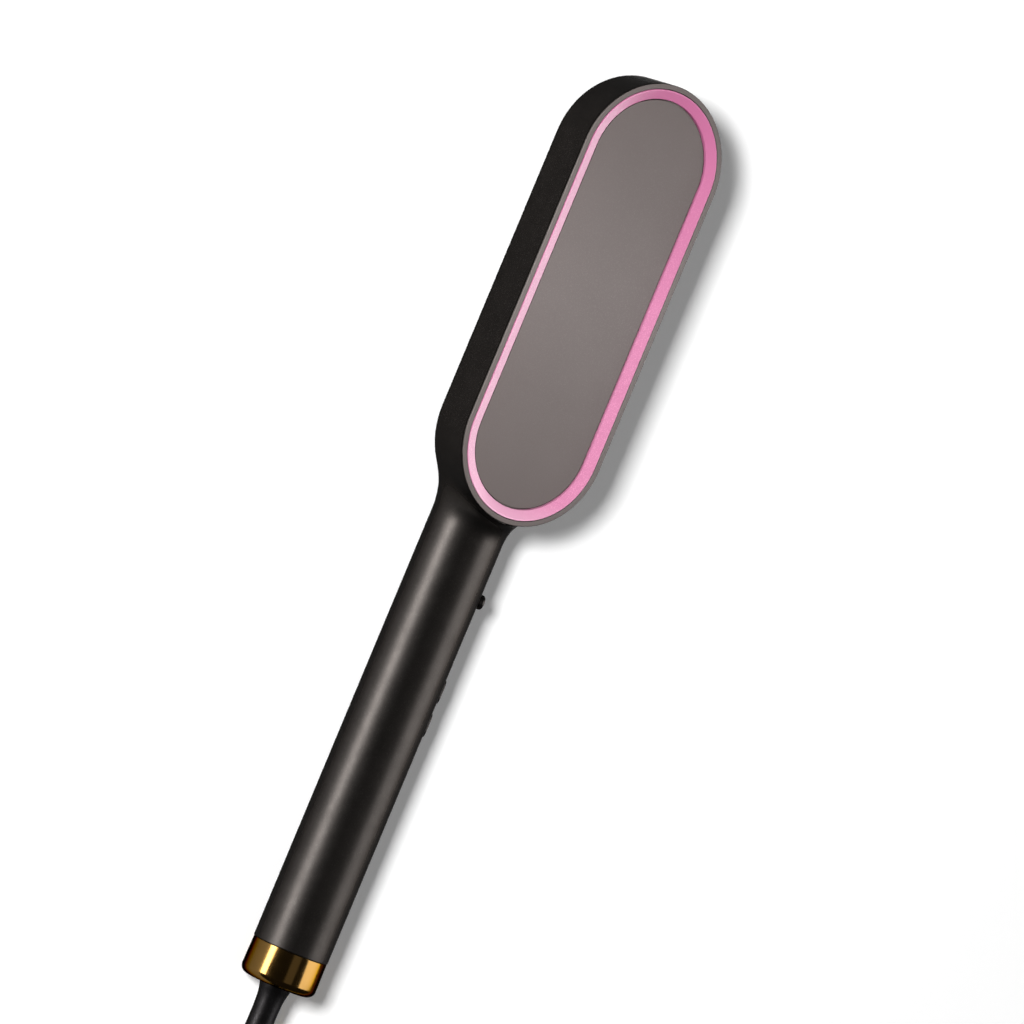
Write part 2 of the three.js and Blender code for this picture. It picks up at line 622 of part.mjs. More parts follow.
function guardComb() {
  let comb = flatOutline(combOutline(GAP), COMB_SIDE_Z, FLOOR_Z);
  const [x0, x1] = [COMB_X - TEETH_LENGTH / 2, COMB_X + TEETH_LENGTH / 2];
  for (const y of rowPlaces(HOT_ROWS)) {
    comb = comb.subtract(box(x0, x1, y - SLOT_WIDTH / 2, y + SLOT_WIDTH / 2, COMB_SIDE_Z - 1, FLOOR_Z + 1));
  }
  for (const [x, y] of combScrews) {
    const headTop = COMB_SIDE_Z + SCREW_SINK + SCREW_HEAD_HEIGHT;
    comb = comb.subtract(upright(x, y, SCREW_HEAD_RADIUS + GAP, COMB_SIDE_Z - 1, headTop));
    comb = comb.subtract(upright(x, y, SCREW_RADIUS + GAP, COMB_SIDE_Z - 1, FLOOR_Z + 1));
  }
  const places = rowPlaces(HOT_ROWS + 1).flatMap((y) => toothPlaces(TEETH_PER_ROW + 1).map((x) => [x, y]));
  return union(comb, ...places.map(([x, y]) => guardTooth(x, y)));
}

// A flat tapered blade that reaches down through its slot.
function hotTooth(x, y) {
  const rings = [[HOT_PLATE_Z + MERGE, 1], [HOT_TOOTH_SHORTER, HOT_TOOTH_TAPER]].map(([z, share]) => {
    const [a, b] = [HOT_TOOTH_LENGTH / 2 * share, HOT_TOOTH_THICKNESS / 2 * share];
    return [[-a, -b], [a, -b], [a, b], [-a, b]].map(([dx, dy]) => new THREE.Vector3(x + dx, y + dy, z));
  });
  return loft(rings);
}

function heatingComb() {
  const half = HOT_PLATE_LENGTH / 2;
  const plate = box(COMB_X - half, COMB_X + half, -HOT_PLATE_WIDTH / 2, HOT_PLATE_WIDTH / 2,
    HOT_PLATE_Z, HOT_PLATE_Z + HOT_PLATE_THICKNESS);
  const teeth = rowPlaces(HOT_ROWS).flatMap((y) => toothPlaces(TEETH_PER_ROW).map((x) => hotTooth(x, y)));
  const [x0, x1] = [COMB_X - half + RAIL_THICKNESS, COMB_X + half - RAIL_THICKNESS];
  const rails = [1, -1].map((side) => {
    const near = side * (HEATER_WIDTH / 2 + GAP);
    const far = near + side * RAIL_THICKNESS;
    return box(x0, x1, Math.min(near, far), Math.max(near, far), HOT_PLATE_Z + 1, HEATER_Z + HEATER_THICKNESS);
  });
  return union(plate, ...teeth, ...rails);
}

function heater(side) {
  const x = COMB_X + side * (HEATER_LENGTH + HEATER_SPACE) / 2;
  return block([x, 0, HEATER_Z + HEATER_THICKNESS / 2], [HEATER_LENGTH, HEATER_WIDTH, HEATER_THICKNESS]);
}

function heaterFilm() {
  const size = [HEATERS_LENGTH + HEATER_SPACE, HEATER_WIDTH - FILM_NARROWER, FILM_THICKNESS];
  return block([COMB_X, 0, FILM_Z + FILM_THICKNESS / 2], size);
}

function pressurePlate() {
  const [length, width] = [HEATERS_LENGTH, HEATER_WIDTH].map((size) => size + 2 * PRESSURE_OVERHANG);
  const middle = (PRESSURE_Z + PRESSURE_TOP) / 2;
  let plate = block([COMB_X, 0, middle], [length, width, PRESSURE_PLATE_THICKNESS]);
  for (let x = PRESSURE_SLOT_PITCH; x + PRESSURE_SLOT[0] / 2 < length / 2 - 1; x += PRESSURE_SLOT_PITCH) {
    for (const side of [1, -1]) {
      plate = plate.subtract(block([COMB_X + side * x, 0, middle], [...PRESSURE_SLOT, WALL]));
    }
  }
  return plate;
}

function combScrew(x, y) {
  const z = COMB_SIDE_Z + SCREW_SINK;
  const under = SCREW_HEAD_HEIGHT - GAP;
  const profile = [
    [0, 0], [SCREW_HEAD_RADIUS * 0.8, 0], [SCREW_HEAD_RADIUS, SCREW_SINK], [SCREW_HEAD_RADIUS, under],
    [SCREW_RADIUS, under], [SCREW_RADIUS, SCREW_LENGTH], [0, SCREW_LENGTH + 1],
  ];
  const points = profile.map((p) => new THREE.Vector2(...p));
  const screw = solid(new THREE.LatheGeometry(points, SMALL_STEPS).rotateX(Math.PI / 2).translate(x, y, z));
  const [long, thin] = [SCREW_HEAD_RADIUS * 1.4, SCREW_HEAD_RADIUS * 0.26];
  return screw.subtract(block([x, y, z], [long, thin, 1.2])).subtract(block([x, y, z], [thin, long, 1.2]));
}

// The board and its pieces, upright on the handle's axis.
function circuitBoard() {
  const y = BOARD_WIDTH / 2;
  return toControls(box(BOARD_START, BOARD_STOP, -y, y, BOARD_TOP - BOARD_THICKNESS, BOARD_TOP));
}

function tactSwitch(x) {
  const base = BOARD_TOP + GAP;
  return toControls(union(
    block([x, 0, base + SWITCH_HEIGHT / 2], [SWITCH_SIZE, SWITCH_SIZE, SWITCH_HEIGHT]),
    upright(x, 0, PLUNGER_RADIUS, base + SWITCH_HEIGHT - 0.2, base + SWITCH_HEIGHT + PLUNGER_HEIGHT),
  ));
}

const STEM_BOTTOM = BOARD_TOP + GAP + SWITCH_HEIGHT + PLUNGER_HEIGHT + BUTTON_TRAVEL + 0.15;
const WALL_UNDERSIDE = BORE_RADIUS * 0.9; // the lowest of the curved wall's inside over a button

// A round raised button with a domed top, a flange under the wall and a stem.
function powerButton() {
  const r = POWER_RADIUS;
  const top = HANDLE_RADIUS + POWER_RISE;
  const flangeTop = WALL_UNDERSIDE - GAP;
  const profile = [
    [STEM_BOTTOM, 0], [STEM_BOTTOM, 1.2], [flangeTop - BUTTON_FLANGE, 1.2],
    [flangeTop - BUTTON_FLANGE, r + BUTTON_FLANGE_RIM], [flangeTop, r + BUTTON_FLANGE_RIM], [flangeTop, r],
    [top - 0.9, r], [top - 0.4, r * 0.86], [top - 0.1, r * 0.5], [top, 0],
  ];
  const points = profile.map(([z, radius]) => new THREE.Vector2(radius, z));
  return toControls(solid(new THREE.LatheGeometry(points, 20).rotateX(Math.PI / 2).translate(POWER_X, 0, 0)));
}

// A low pill-shaped key whose top follows the handle's round.
function keyButton(x) {
  const flangeTop = WALL_UNDERSIDE - GAP - 0.3;
  const crown = turned([[x - KEY_LENGTH, 0], [x - KEY_LENGTH, HANDLE_RADIUS + KEY_RISE],
    [x + KEY_LENGTH, HANDLE_RADIUS + KEY_RISE], [x + KEY_LENGTH, 0]], { z: 0 });
  const body = pill(x, KEY_LENGTH, KEY_WIDTH, flangeTop - BUTTON_FLANGE, HANDLE_RADIUS + 2).intersect(crown);
  const rim = 2 * BUTTON_FLANGE_RIM;
  return toControls(union(
    body,
    pill(x, KEY_LENGTH + rim, KEY_WIDTH + rim, flangeTop - BUTTON_FLANGE, flangeTop),
    upright(x, 0, 1.2, STEM_BOTTOM, flangeTop - BUTTON_FLANGE + 0.1),
  ));
}

// A clear window flush with the handle, over the display.
function displayWindow() {
  const crown = turned([[DISPLAY_X - WINDOW_LENGTH, 0], [DISPLAY_X - WINDOW_LENGTH, HANDLE_RADIUS],
    [DISPLAY_X + WINDOW_LENGTH, HANDLE_RADIUS], [DISPLAY_X + WINDOW_LENGTH, 0]], { z: 0 });
  const flangeTop = Math.sqrt(BORE_RADIUS ** 2 - (WINDOW_WIDTH / 2 + 1) ** 2) - GAP;
  return toControls(union(
    pill(DISPLAY_X, WINDOW_LENGTH, WINDOW_WIDTH, flangeTop - 0.8, HANDLE_RADIUS + 2).intersect(crown),
    pill(DISPLAY_X, WINDOW_LENGTH + 2, WINDOW_WIDTH + 2, flangeTop - 0.8, flangeTop),
  ));
}

function displayModule() {
  const top = Math.sqrt(BORE_RADIUS ** 2 - (WINDOW_WIDTH / 2 + 1) ** 2) - 2 * GAP - 0.8;
  return toControls(box(DISPLAY_X - 7.5, DISPLAY_X + 7.5, -4, 4, BOARD_TOP + GAP, top));
}

// What hangs on the board's other side, at a share of its length.
function boardPiece(share, length, width, height) {
  const x = BOARD_START + share * BOARD_LENGTH;
  const under = BOARD_TOP - BOARD_THICKNESS - GAP;
  return toControls(box(x - length / 2, x + length / 2, -width / 2, width / 2, under - height, under));
}

function boardFuse() {
  const [half, r] = [6, 1.8];
  const x = MINUS_X - SWITCH_SIZE / 2 - 3 - half;
  const profile = [[x - half, 0], [x - half, r], [x + half, r], [x + half, 0]];
  return toControls(turned(profile, { z: BOARD_TOP + GAP + r, steps: SMALL_STEPS }));
}

// The end cap: a turned metal cup with a rounded lower edge and a hole for the swivel.
function endCap() {
  const steps = 7;
  const outside = [[0, JOURNAL_RADIUS + SLIDE_GAP]];
  for (let i = 0; i <= steps; i++) {
    const angle = Math.PI / 2 * i / steps;
    const radius = CAP_BASE_RADIUS - CAP_CORNER * (1 - Math.sin(angle));
    outside.push([CAP_CORNER * (1 - Math.cos(angle)), radius]);
  }
  const inner = CAP_TOP_RADIUS - CAP_SKIN;
  return turned([
    ...outside, [CAP_HEIGHT - CAP_EDGE, CAP_TOP_RADIUS], [CAP_HEIGHT, CAP_TOP_RADIUS - CAP_EDGE],
    [CAP_HEIGHT, inner], [CAP_WALL, inner], [CAP_WALL, JOURNAL_RADIUS + SLIDE_GAP], outside[0],
  ]);
}

// The bearing of the swivel, seated in the cap and in the end of the handle.
function swivelSocket() {
  const inCap = CAP_TOP_RADIUS - CAP_SKIN - GAP;
  const inBore = BORE_RADIUS - GAP;
  const start = [SOCKET_START, JOURNAL_RADIUS + SLIDE_GAP];
  return turned([
    start, [SOCKET_START, inCap - SOCKET_EDGE], [SOCKET_START + SOCKET_EDGE, inCap],
    [CAP_HEIGHT, inCap], [CAP_HEIGHT, inBore],
    [SOCKET_STOP, inBore], [SOCKET_STOP, SOCKET_POCKET], [SOCKET_FRONT, SOCKET_POCKET],
    [SOCKET_FRONT, JOURNAL_RADIUS + SLIDE_GAP], start,
  ], { steps: TURNED_STEPS });
}

function swivelCover() {
  const [x0, x1] = [SOCKET_STOP + GAP, SOCKET_STOP + GAP + SWIVEL_COVER_THICKNESS];
  return turned([[x0, 0], [x0, BORE_RADIUS - GAP], [x1, BORE_RADIUS - GAP], [x1, 0]], { steps: TURNED_STEPS });
}

// The moulded strain relief with its journal, retaining collar and stub.
function strainRelief() {
  const collar = SOCKET_FRONT + SLIDE_GAP;
  const inside = [
    [STUB_STOP, 0], [STUB_STOP, STUB_RADIUS], [collar + COLLAR_THICKNESS, STUB_RADIUS],
    [collar + COLLAR_THICKNESS, COLLAR_RADIUS], [collar, COLLAR_RADIUS], [collar, JOURNAL_RADIUS],
    [GAP, JOURNAL_RADIUS], [-GAP, JOURNAL_RADIUS], [-GAP, RELIEF_BASE_RADIUS],
  ];
  const outside = [
    [-1.2, RELIEF_BASE_RADIUS - 0.15], [-2.6, RELIEF_BASE_RADIUS - 0.5],
    [-4.6, RELIEF_RADIUS + 0.2], [-8, RELIEF_RADIUS],
  ];
  const pitch = -(RELIEF_LENGTH - RELIEF_PLAIN - RELIEF_END) / RELIEF_GROOVES;
  for (let i = 0; i < RELIEF_GROOVES; i++) {
    const x = -RELIEF_PLAIN + i * pitch;
    const radius = RELIEF_RADIUS + (RELIEF_TIP_RADIUS - RELIEF_RADIUS) * i / RELIEF_GROOVES;
    const groove = radius - RELIEF_GROOVE_DEPTH;
    outside.push([x, radius], [x + 0.25 * pitch, groove]);
    outside.push([x + 0.5 * pitch, groove], [x + 0.75 * pitch, radius]);
  }
  outside.push(
    [-RELIEF_LENGTH + 1, RELIEF_TIP_RADIUS], [-RELIEF_LENGTH, RELIEF_TIP_RADIUS - 0.5], [-RELIEF_LENGTH, 0],
  );
  return turned([...inside, ...outside], { steps: TURNED_STEPS });
}

function slipRing(x) {
  const [inner, outer, x1] = [STUB_RADIUS + GAP, SLIP_RING_RADIUS, x + SLIP_RING_WIDTH];
  return turned([[x, inner], [x, outer], [x1, outer], [x1, inner], [x, inner]], { steps: TURNED_STEPS });
}

// A spring contact between a slip ring and the socket's wall.
function contactSpring(x) {
  const edge = Math.sqrt((SOCKET_POCKET - GAP) ** 2 - (SPRING_WIDTH / 2) ** 2);
  const [low, high] = [AXIS_Z + SLIP_RING_RADIUS + GAP, AXIS_Z + edge];
  const middle = x + SLIP_RING_WIDTH / 2;
  return box(middle - 1, middle + 1, -SPRING_WIDTH / 2, SPRING_WIDTH / 2, low, high);
}

// Cord, hank and plug

// A point on a hank's loop: a run, a fold, a run and a fold, a sixth, a third, a sixth and a third of a turn.
function loopPoint(turns, radius) {
  const part = (turns % 1 + 1) % 1;
  const back = part >= 0.5 - 1e-9;
  const half = (back ? part - 0.5 : part) * 2;
  const side = back ? -1 : 1;
  if (half <= 1 / 3 + 1e-9) {
    const along = HANK_RUN * (0.5 - 3 * half);
    const waist = Math.cos(Math.PI * along / HANK_RUN) ** 2;
    return { x: side * along, y: side * (radius - HANK_WAIST * waist), waist };
  }
  const angle = Math.PI * (half - 1 / 3) * 1.5;
  return { x: side * (-HANK_RUN / 2 - radius * Math.sin(angle)), y: side * radius * Math.cos(angle), waist: 0 };
}

// The hank's centre line: one turn in each layer, in and out by turns, and half a turn up between layers.
function hankLine() {
  const outer = HANK_FOLD + HANK_STEP;
  const points = [];
  const push = (turns, radius, rise) => {
    const { x, y, waist } = loopPoint(turns, radius);
    const lift = waist * (TIE_THICKNESS + GAP);
    points.push(new THREE.Vector3(HANK_X + x, y, CORD_RADIUS + rise + lift));
  };
  let turns = 0;
  for (let layer = 0; layer < HANK_LAYERS; layer++) {
    const inwards = layer % 2 === 0;
    const last = layer === HANK_LAYERS - 1;
    for (let i = 0; i < HANK_STEPS; i++) {
      const share = i / HANK_STEPS;
      const radius = inwards ? outer - HANK_STEP * share : HANK_FOLD + HANK_STEP * share;
      push(turns + share, radius, layer * HANK_LAYER);
    }
    turns += 1;
    const climb = last ? HANK_STEPS / 6 : HANK_STEPS / 2;
    for (let i = 0; i < climb + (last ? 1 : 0); i++) {
      const rise = last ? layer : layer + 2 * i / HANK_STEPS;
      push(turns + i / HANK_STEPS, inwards ? HANK_FOLD : outer, rise * HANK_LAYER);
    }
    turns += 0.5;
  }
  return points;
}

// A tube of six sides through every point of a line.
function ropeSolid(line, radius, sides = 6) {
  const rings = line.map((p, i) => {
    const [before, after] = [line[Math.max(i - 1, 0)], line[Math.min(i + 1, line.length - 1)]];
    const along = new THREE.Vector3().subVectors(after, before);
    if (i === 0 || i === line.length - 1) along.set(Math.sign(along.x), 0, 0);
    along.normalize();
    const across = new THREE.Vector3().crossVectors(new THREE.Vector3(0, 0, 1), along).normalize();
    const up = new THREE.Vector3().crossVectors(along, across);
    return Array.from({ length: sides }, (_, k) => {
      const angle = 2 * Math.PI * (k + 0.5) / sides;
      const point = p.clone().addScaledVector(across, radius * Math.cos(angle));
      return point.addScaledVector(up, radius * Math.sin(angle));
    });
  });
  return loft(rings);
}

// The least distance between the surfaces of two stretches that are not neighbours.
function leastGap(line, diameter) {
  const fine = [];
  for (let i = 0; i + 1 < line.length; i++) {
    for (let k = 0; k < 6; k++) fine.push(line[i].clone().lerp(line[i + 1], k / 6));
  }
  let least = Infinity;
  for (let i = 0; i < fine.length; i++) {
    for (let j = i + 3 * HANK_STEPS; j < fine.length; j++) {
      least = Math.min(least, fine[i].distanceTo(fine[j]));
    }
  }
  return least - diameter;
}

function lineLength(line) {
  return line.slice(1).reduce((sum, p, i) => sum + p.distanceTo(line[i]), 0);
}

function hankTie() {
  const half = HANK_FOLD + HANK_STEP - HANK_WAIST + CORD_RADIUS + 2.5 * GAP;
  const top = TIE_THICKNESS + GAP + (HANK_LAYERS - 1) * HANK_LAYER + CORD_DIAMETER + GAP;
  const corner = 2;
  const frame = (grow, width) => {
    return loft(tieOutline(half + grow, TIE_THICKNESS - grow, top + grow, corner + grow, width));
  };
  return frame(TIE_THICKNESS, TIE_WIDTH).subtract(frame(0, 2 * TIE_WIDTH));
}

// Two rings of a rounded rectangle that stands across the hank, a width apart.
function tieOutline(halfWidth, z0, z1, corner, width) {
  const outline = [];
  for (const [sy, sz, from] of [[1, 1, 0], [-1, 1, 90], [-1, -1, 180], [1, -1, 270]]) {
    for (let i = 0; i <= 3; i++) {
      const angle = THREE.MathUtils.degToRad(from + 30 * i);
      const y = sy * (halfWidth - corner) + corner * Math.cos(angle);
      const z = (sz > 0 ? z1 - corner : z0 + corner) + corner * Math.sin(angle);
      outline.push([y, z]);
    }
  }
  return [-width / 2, width / 2].map((dx) => outline.map(([y, z]) => new THREE.Vector3(HANK_X + dx, y, z)));
}

// The plug: a flat rounded body that narrows to the cord.
function plugBody() {
  const z = PLUG_HEIGHT / 2;
  const stations = [
    [0, 3.6, 3.6], [5, 4, 3.9], [9, 4.6, 4.3], [13, 8, 5.4], [17, 11.4, 6.4], [21, PLUG_WIDTH / 2, z],
    [PLUG_LENGTH - 1.5, PLUG_WIDTH / 2, z], [PLUG_LENGTH, PLUG_WIDTH / 2 - 1, z - 1],
  ];
  const rings = stations.map(([dx, a, b]) => Array.from({ length: TURNED_STEPS }, (_, i) => {
    const angle = 2 * Math.PI * (i + 0.5) / TURNED_STEPS;
    const soft = dx < 10 ? 1 : 0.6;
    const [cos, sin] = [Math.cos(angle), Math.sin(angle)];
    return new THREE.Vector3(PLUG_START + dx, PLUG_Y + a * Math.sign(cos) * Math.abs(cos) ** soft,
      z + b * Math.sign(sin) * Math.abs(sin) ** soft);
  }));
  let body = loft(rings);
  for (const side of [1, -1]) {
    const x = PLUG_START + PLUG_LENGTH;
    const [x0, r] = [x - PIN_DEPTH - GAP, PIN_RADIUS + GAP];
    const place = { y: PLUG_Y + side * PIN_SPREAD / 2, z, steps: SMALL_STEPS };
    body = body.subtract(turned([[x0, 0], [x0, r], [x + 1, r], [x + 1, 0]], place));
  }
  return body;
}

function plugPin(side) {
  const x = PLUG_START + PLUG_LENGTH;
  return turned([[x - PIN_DEPTH, 0], [x - PIN_DEPTH, PIN_RADIUS], [x + PIN_LENGTH - 1, PIN_RADIUS],
    [x + PIN_LENGTH - 0.3, PIN_RADIUS * 0.7], [x + PIN_LENGTH, 0]],
  { y: PLUG_Y + side * PIN_SPREAD / 2, z: PLUG_HEIGHT / 2, steps: SMALL_STEPS });
}

// Wires inside the handle and head
function heaterLead(side) {
  const x = COMB_X - HEATERS_LENGTH / 2 - GAP;
  return tube([
    [x, side * HEATER_LEAD_Y, HEATER_Z + 1.2], [x - 8, side * HEATER_LEAD_Y, HEATER_Z + 1],
    [x - 20, side * HEATER_LEAD_Y, AXIS_Z + 1.4], [x - 32, side * LEAD_SPREAD, AXIS_Z],
    [BOARD_STOP + GAP, side * LEAD_SPREAD, AXIS_Z],
  ], LEAD_RADIUS, 5, 8);
}

function supplyLead(side) {
  const x = SOCKET_STOP + SWIVEL_COVER_THICKNESS + 2 * GAP;
  const ends = [x, (x + BOARD_START) / 2, BOARD_START - GAP];
  return tube(ends.map((place) => [place, side * LEAD_SPREAD, AXIS_Z]), LEAD_RADIUS, 3, 8);
}

// A small round piece that lies along X on the pressure plate.
function sensor(x, y, length, radius) {
  const z = PRESSURE_TOP + GAP + radius;
  return turned([[x, 0], [x, radius], [x + length, radius], [x + length, 0]], { y, z, steps: SMALL_STEPS });
}

// Finishes, by eye from the photograph
const finish = (color, roughness, metalness = 0) => ({ color, roughness, metalness });
const SOFT_BLACK = finish('#1d1a19', 0.42);
const PANEL_GREY = finish('#857d7a', 0.75);
const PINK = finish('#e296b8', 0.45);
const GOLD = finish('#c9a25c', 0.14, 1);
const CORD_BLACK = finish('#1b1b1c', 0.55);
const COMB_BLACK = finish('#242122', 0.5);
const COATED_METAL = finish('#7a5a52', 0.4, 0.8);
const STEEL = finish('#b9bbbe', 0.3, 1);
const BRASS = finish('#c8a860', 0.3, 1);
const CERAMIC = finish('#e6e2d8', 0.6);
const FILM = finish('#c8862a', 0.35);
const BOARD_GREEN = finish('#1f5a3a', 0.5);
const SWITCH_BLACK = finish('#2a2a2c', 0.5);
const CLEAR_SMOKE = finish('#0c0c0f', 0.08);
const WIRE_RED = finish('#a8322c', 0.5);
const WIRE_BLUE = finish('#2c4f9a', 0.5);
const WHITE_PLASTIC = finish('#dedbd2', 0.5);

const group = new THREE.Group();

function add(name, shape, { color, roughness, metalness }) {
  const material = new THREE.MeshStandardMaterial({ color, roughness, metalness });
  const mesh = new THREE.Mesh(geometryOf(shape), material);
  mesh.name = name;
  group.add(mesh);
}

add('main_housing', mainHousing(), SOFT_BLACK);
add('handle_cover', handleCover(), SOFT_BLACK);
add('trim_ring', trimRing(), PINK);
add('back_panel', backPanel(), PANEL_GREY);
add('guard_comb', guardComb(), COMB_BLACK);
add('heating_comb', heatingComb(), COATED_METAL);
add('heater_front', heater(1), CERAMIC);
add('heater_rear', heater(-1), CERAMIC);
add('heater_film', heaterFilm(), FILM);
add('pressure_plate', pressurePlate(), STEEL);
add('thermal_fuse', sensor(COMB_X - FUSE_TO_MIDDLE, SENSOR_LINE, FUSE_LENGTH, FUSE_RADIUS), WHITE_PLASTIC);
add('thermistor',
  sensor(COMB_X + THERMISTOR_TO_MIDDLE, -SENSOR_LINE, THERMISTOR_LENGTH, THERMISTOR_RADIUS), CERAMIC);
combScrews.forEach(([x, y], i) => add(`comb_screw_${i + 1}`, combScrew(x, y), STEEL));
add('heater_lead_live', heaterLead(1), WIRE_RED);
add('heater_lead_neutral', heaterLead(-1), WIRE_BLUE);
add('circuit_board', circuitBoard(), BOARD_GREEN);
add('power_switch', tactSwitch(POWER_X), SWITCH_BLACK);
add('plus_switch', tactSwitch(PLUS_X), SWITCH_BLACK);
add('minus_switch', tactSwitch(MINUS_X), SWITCH_BLACK);
add('display_module', displayModule(), WHITE_PLASTIC);
add('film_capacitor', boardPiece(0.24, 13, 7, 4.6), FILM);
add('triac', boardPiece(0.43, 10, 10, 4), SWITCH_BLACK);
add('control_chip', boardPiece(0.68, 12, 8, 1.6), SWITCH_BLACK);
add('board_fuse', boardFuse(), CERAMIC);
add('power_button', powerButton(), SOFT_BLACK);
add('plus_button', keyButton(PLUS_X), SOFT_BLACK);
add('minus_button', keyButton(MINUS_X), SOFT_BLACK);
add('display_window', displayWindow(), CLEAR_SMOKE);
add('end_cap', endCap(), GOLD);
add('swivel_socket', swivelSocket(), WHITE_PLASTIC);
add('swivel_cover', swivelCover(), WHITE_PLASTIC);
add('strain_relief', strainRelief(), CORD_BLACK);
add('slip_ring_live', slipRing(SLIP_RING_PLACES[0]), BRASS);
add('slip_ring_neutral', slipRing(SLIP_RING_PLACES[1]), BRASS);
add('contact_spring_live', contactSpring(SLIP_RING_PLACES[0]), BRASS);
add('contact_spring_neutral', contactSpring(SLIP_RING_PLACES[1]), BRASS);
add('supply_lead_live', supplyLead(1), WIRE_RED);
add('supply_lead_neutral', supplyLead(-1), WIRE_BLUE);

const hank = hankLine();
add('cord', tube(CORD_POINTS, CORD_RADIUS, 2 * CORD_DIAMETER, SMALL_STEPS), CORD_BLACK);
add('cord_hank', ropeSolid(hank, CORD_RADIUS), CORD_BLACK);
add('cord_tail', tube(TAIL_POINTS, CORD_RADIUS, 2 * CORD_DIAMETER, SMALL_STEPS), CORD_BLACK);
add('hank_tie', hankTie(), CORD_BLACK);
add('plug_body', plugBody(), CORD_BLACK);
add('plug_pin_1', plugPin(1), BRASS);
add('plug_pin_2', plugPin(-1), BRASS);
console.log(`hank: least gap ${leastGap(hank, CORD_DIAMETER).toFixed(2)} mm`);
console.log(`hank: length ${lineLength(hank).toFixed(0)} mm`);

// The origin is under the middle of the brush, from the strain relief's tip to the top of the head.
group.position.x = -(LENGTH - RELIEF_LENGTH) / 2;

export default group;
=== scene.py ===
import json
from math import copysign, cos, pi, radians, sin, sqrt

import bpy
import numpy as np
from mathutils import Matrix, Vector


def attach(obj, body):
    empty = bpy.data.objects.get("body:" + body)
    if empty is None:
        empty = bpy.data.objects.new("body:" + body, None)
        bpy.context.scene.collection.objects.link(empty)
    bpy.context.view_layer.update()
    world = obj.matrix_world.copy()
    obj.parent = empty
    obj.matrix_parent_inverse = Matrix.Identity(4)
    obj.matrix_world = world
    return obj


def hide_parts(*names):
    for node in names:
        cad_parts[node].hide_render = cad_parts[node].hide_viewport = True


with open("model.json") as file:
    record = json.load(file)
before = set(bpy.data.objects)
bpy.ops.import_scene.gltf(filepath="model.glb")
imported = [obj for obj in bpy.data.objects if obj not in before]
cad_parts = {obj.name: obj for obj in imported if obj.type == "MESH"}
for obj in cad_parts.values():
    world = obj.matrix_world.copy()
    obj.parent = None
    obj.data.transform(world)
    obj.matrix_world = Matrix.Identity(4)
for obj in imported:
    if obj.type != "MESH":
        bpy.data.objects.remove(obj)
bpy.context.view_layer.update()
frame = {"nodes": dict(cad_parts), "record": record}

# Sizes that the pieces share with the solids
MM = 0.001
LENGTH = 300.0
HEAD_LENGTH = 142.8
HEAD_WIDTH = 49.2
HEAD_DEPTH = 22.9
END_REACH = 26.2
FACE_HEIGHT = 31.1
HANDLE_RADIUS = 12.2
WALL = 2.0
GAP = 0.3
SLIDE_GAP = 0.35
RELIEF_LENGTH = 38.0
MIDDLE_X = (LENGTH - RELIEF_LENGTH) / 2
AXIS_Z = HANDLE_RADIUS
HEAD_START = LENGTH - HEAD_LENGTH
HEAD_X = LENGTH - HEAD_LENGTH / 2
COMB_SIDE_Z = FACE_HEIGHT - HEAD_DEPTH
COMB_EDGE_RADIUS = 5.5
RIM_EDGE = 0.5
RIM_WIDTH = 1.6
LID_EDGE = 0.8
LID_THICKNESS = 2.4
LID_WEB = 0.9
LID_LIP = 0.6
RING_WIDTH = 3.1
RING_FIT = 0.2
RING_REVEAL = 0.45
RING_SLOPE = 1.2
RING_STEP = 0.7
RING_SINK = 0.1
RING_EDGE = 0.15
WALL_TOP = FACE_HEIGHT - LID_EDGE - GAP
LID_TOP = FACE_HEIGHT - RING_SINK - RING_SLOPE - RING_STEP
LID_BOTTOM = LID_TOP - LID_THICKNESS
RING_BOTTOM = LID_BOTTOM + LID_WEB + GAP
SEAT_Z = LID_BOTTOM - GAP
LEDGE = 1.6
CEILING_Z = SEAT_Z - LEDGE
BORE_RADIUS = HANDLE_RADIUS - WALL
HANDLE_START = 11.7
END_EDGE = 0.3
NECK_BLEND = 8.0
NOSE_LENGTH = 20.0
GUARD_THICKNESS = 2.4
FLOOR_Z = COMB_SIDE_Z + GUARD_THICKNESS
COMB_MARGIN = 6.6
COMB_SETBACK = 24.0
COMB_X0 = HEAD_START + COMB_SETBACK
COMB_X1 = LENGTH - COMB_MARGIN
COMB_X = (COMB_X0 + COMB_X1) / 2
COMB_HALF_WIDTH = HEAD_WIDTH / 2 - COMB_MARGIN
COMB_END_REACH = END_REACH - COMB_MARGIN
COVER_START = 34.0
COVER_SETBACK = 9.2
COVER_STOP = HEAD_START - COVER_SETBACK
SEAM_DROP = 6.1
SEAM_Z = AXIS_Z - SEAM_DROP
SEAM_GAP = 0.14
END_SEAM = 0.02
CONTROL_TILT = 15.0
CORD_RADIUS = 2.8
# How far a cutting form reaches past what it cuts, and an added one into what it joins
PAST = 1.0
BITE = 0.4
TINY = 1e-9
# Between faces at a wider angle than this, in degrees, the shading has an edge
SHARP, SHARP_RIM, SHARP_ROUND, SHARP_SKIN = 40, 38, 35, 30

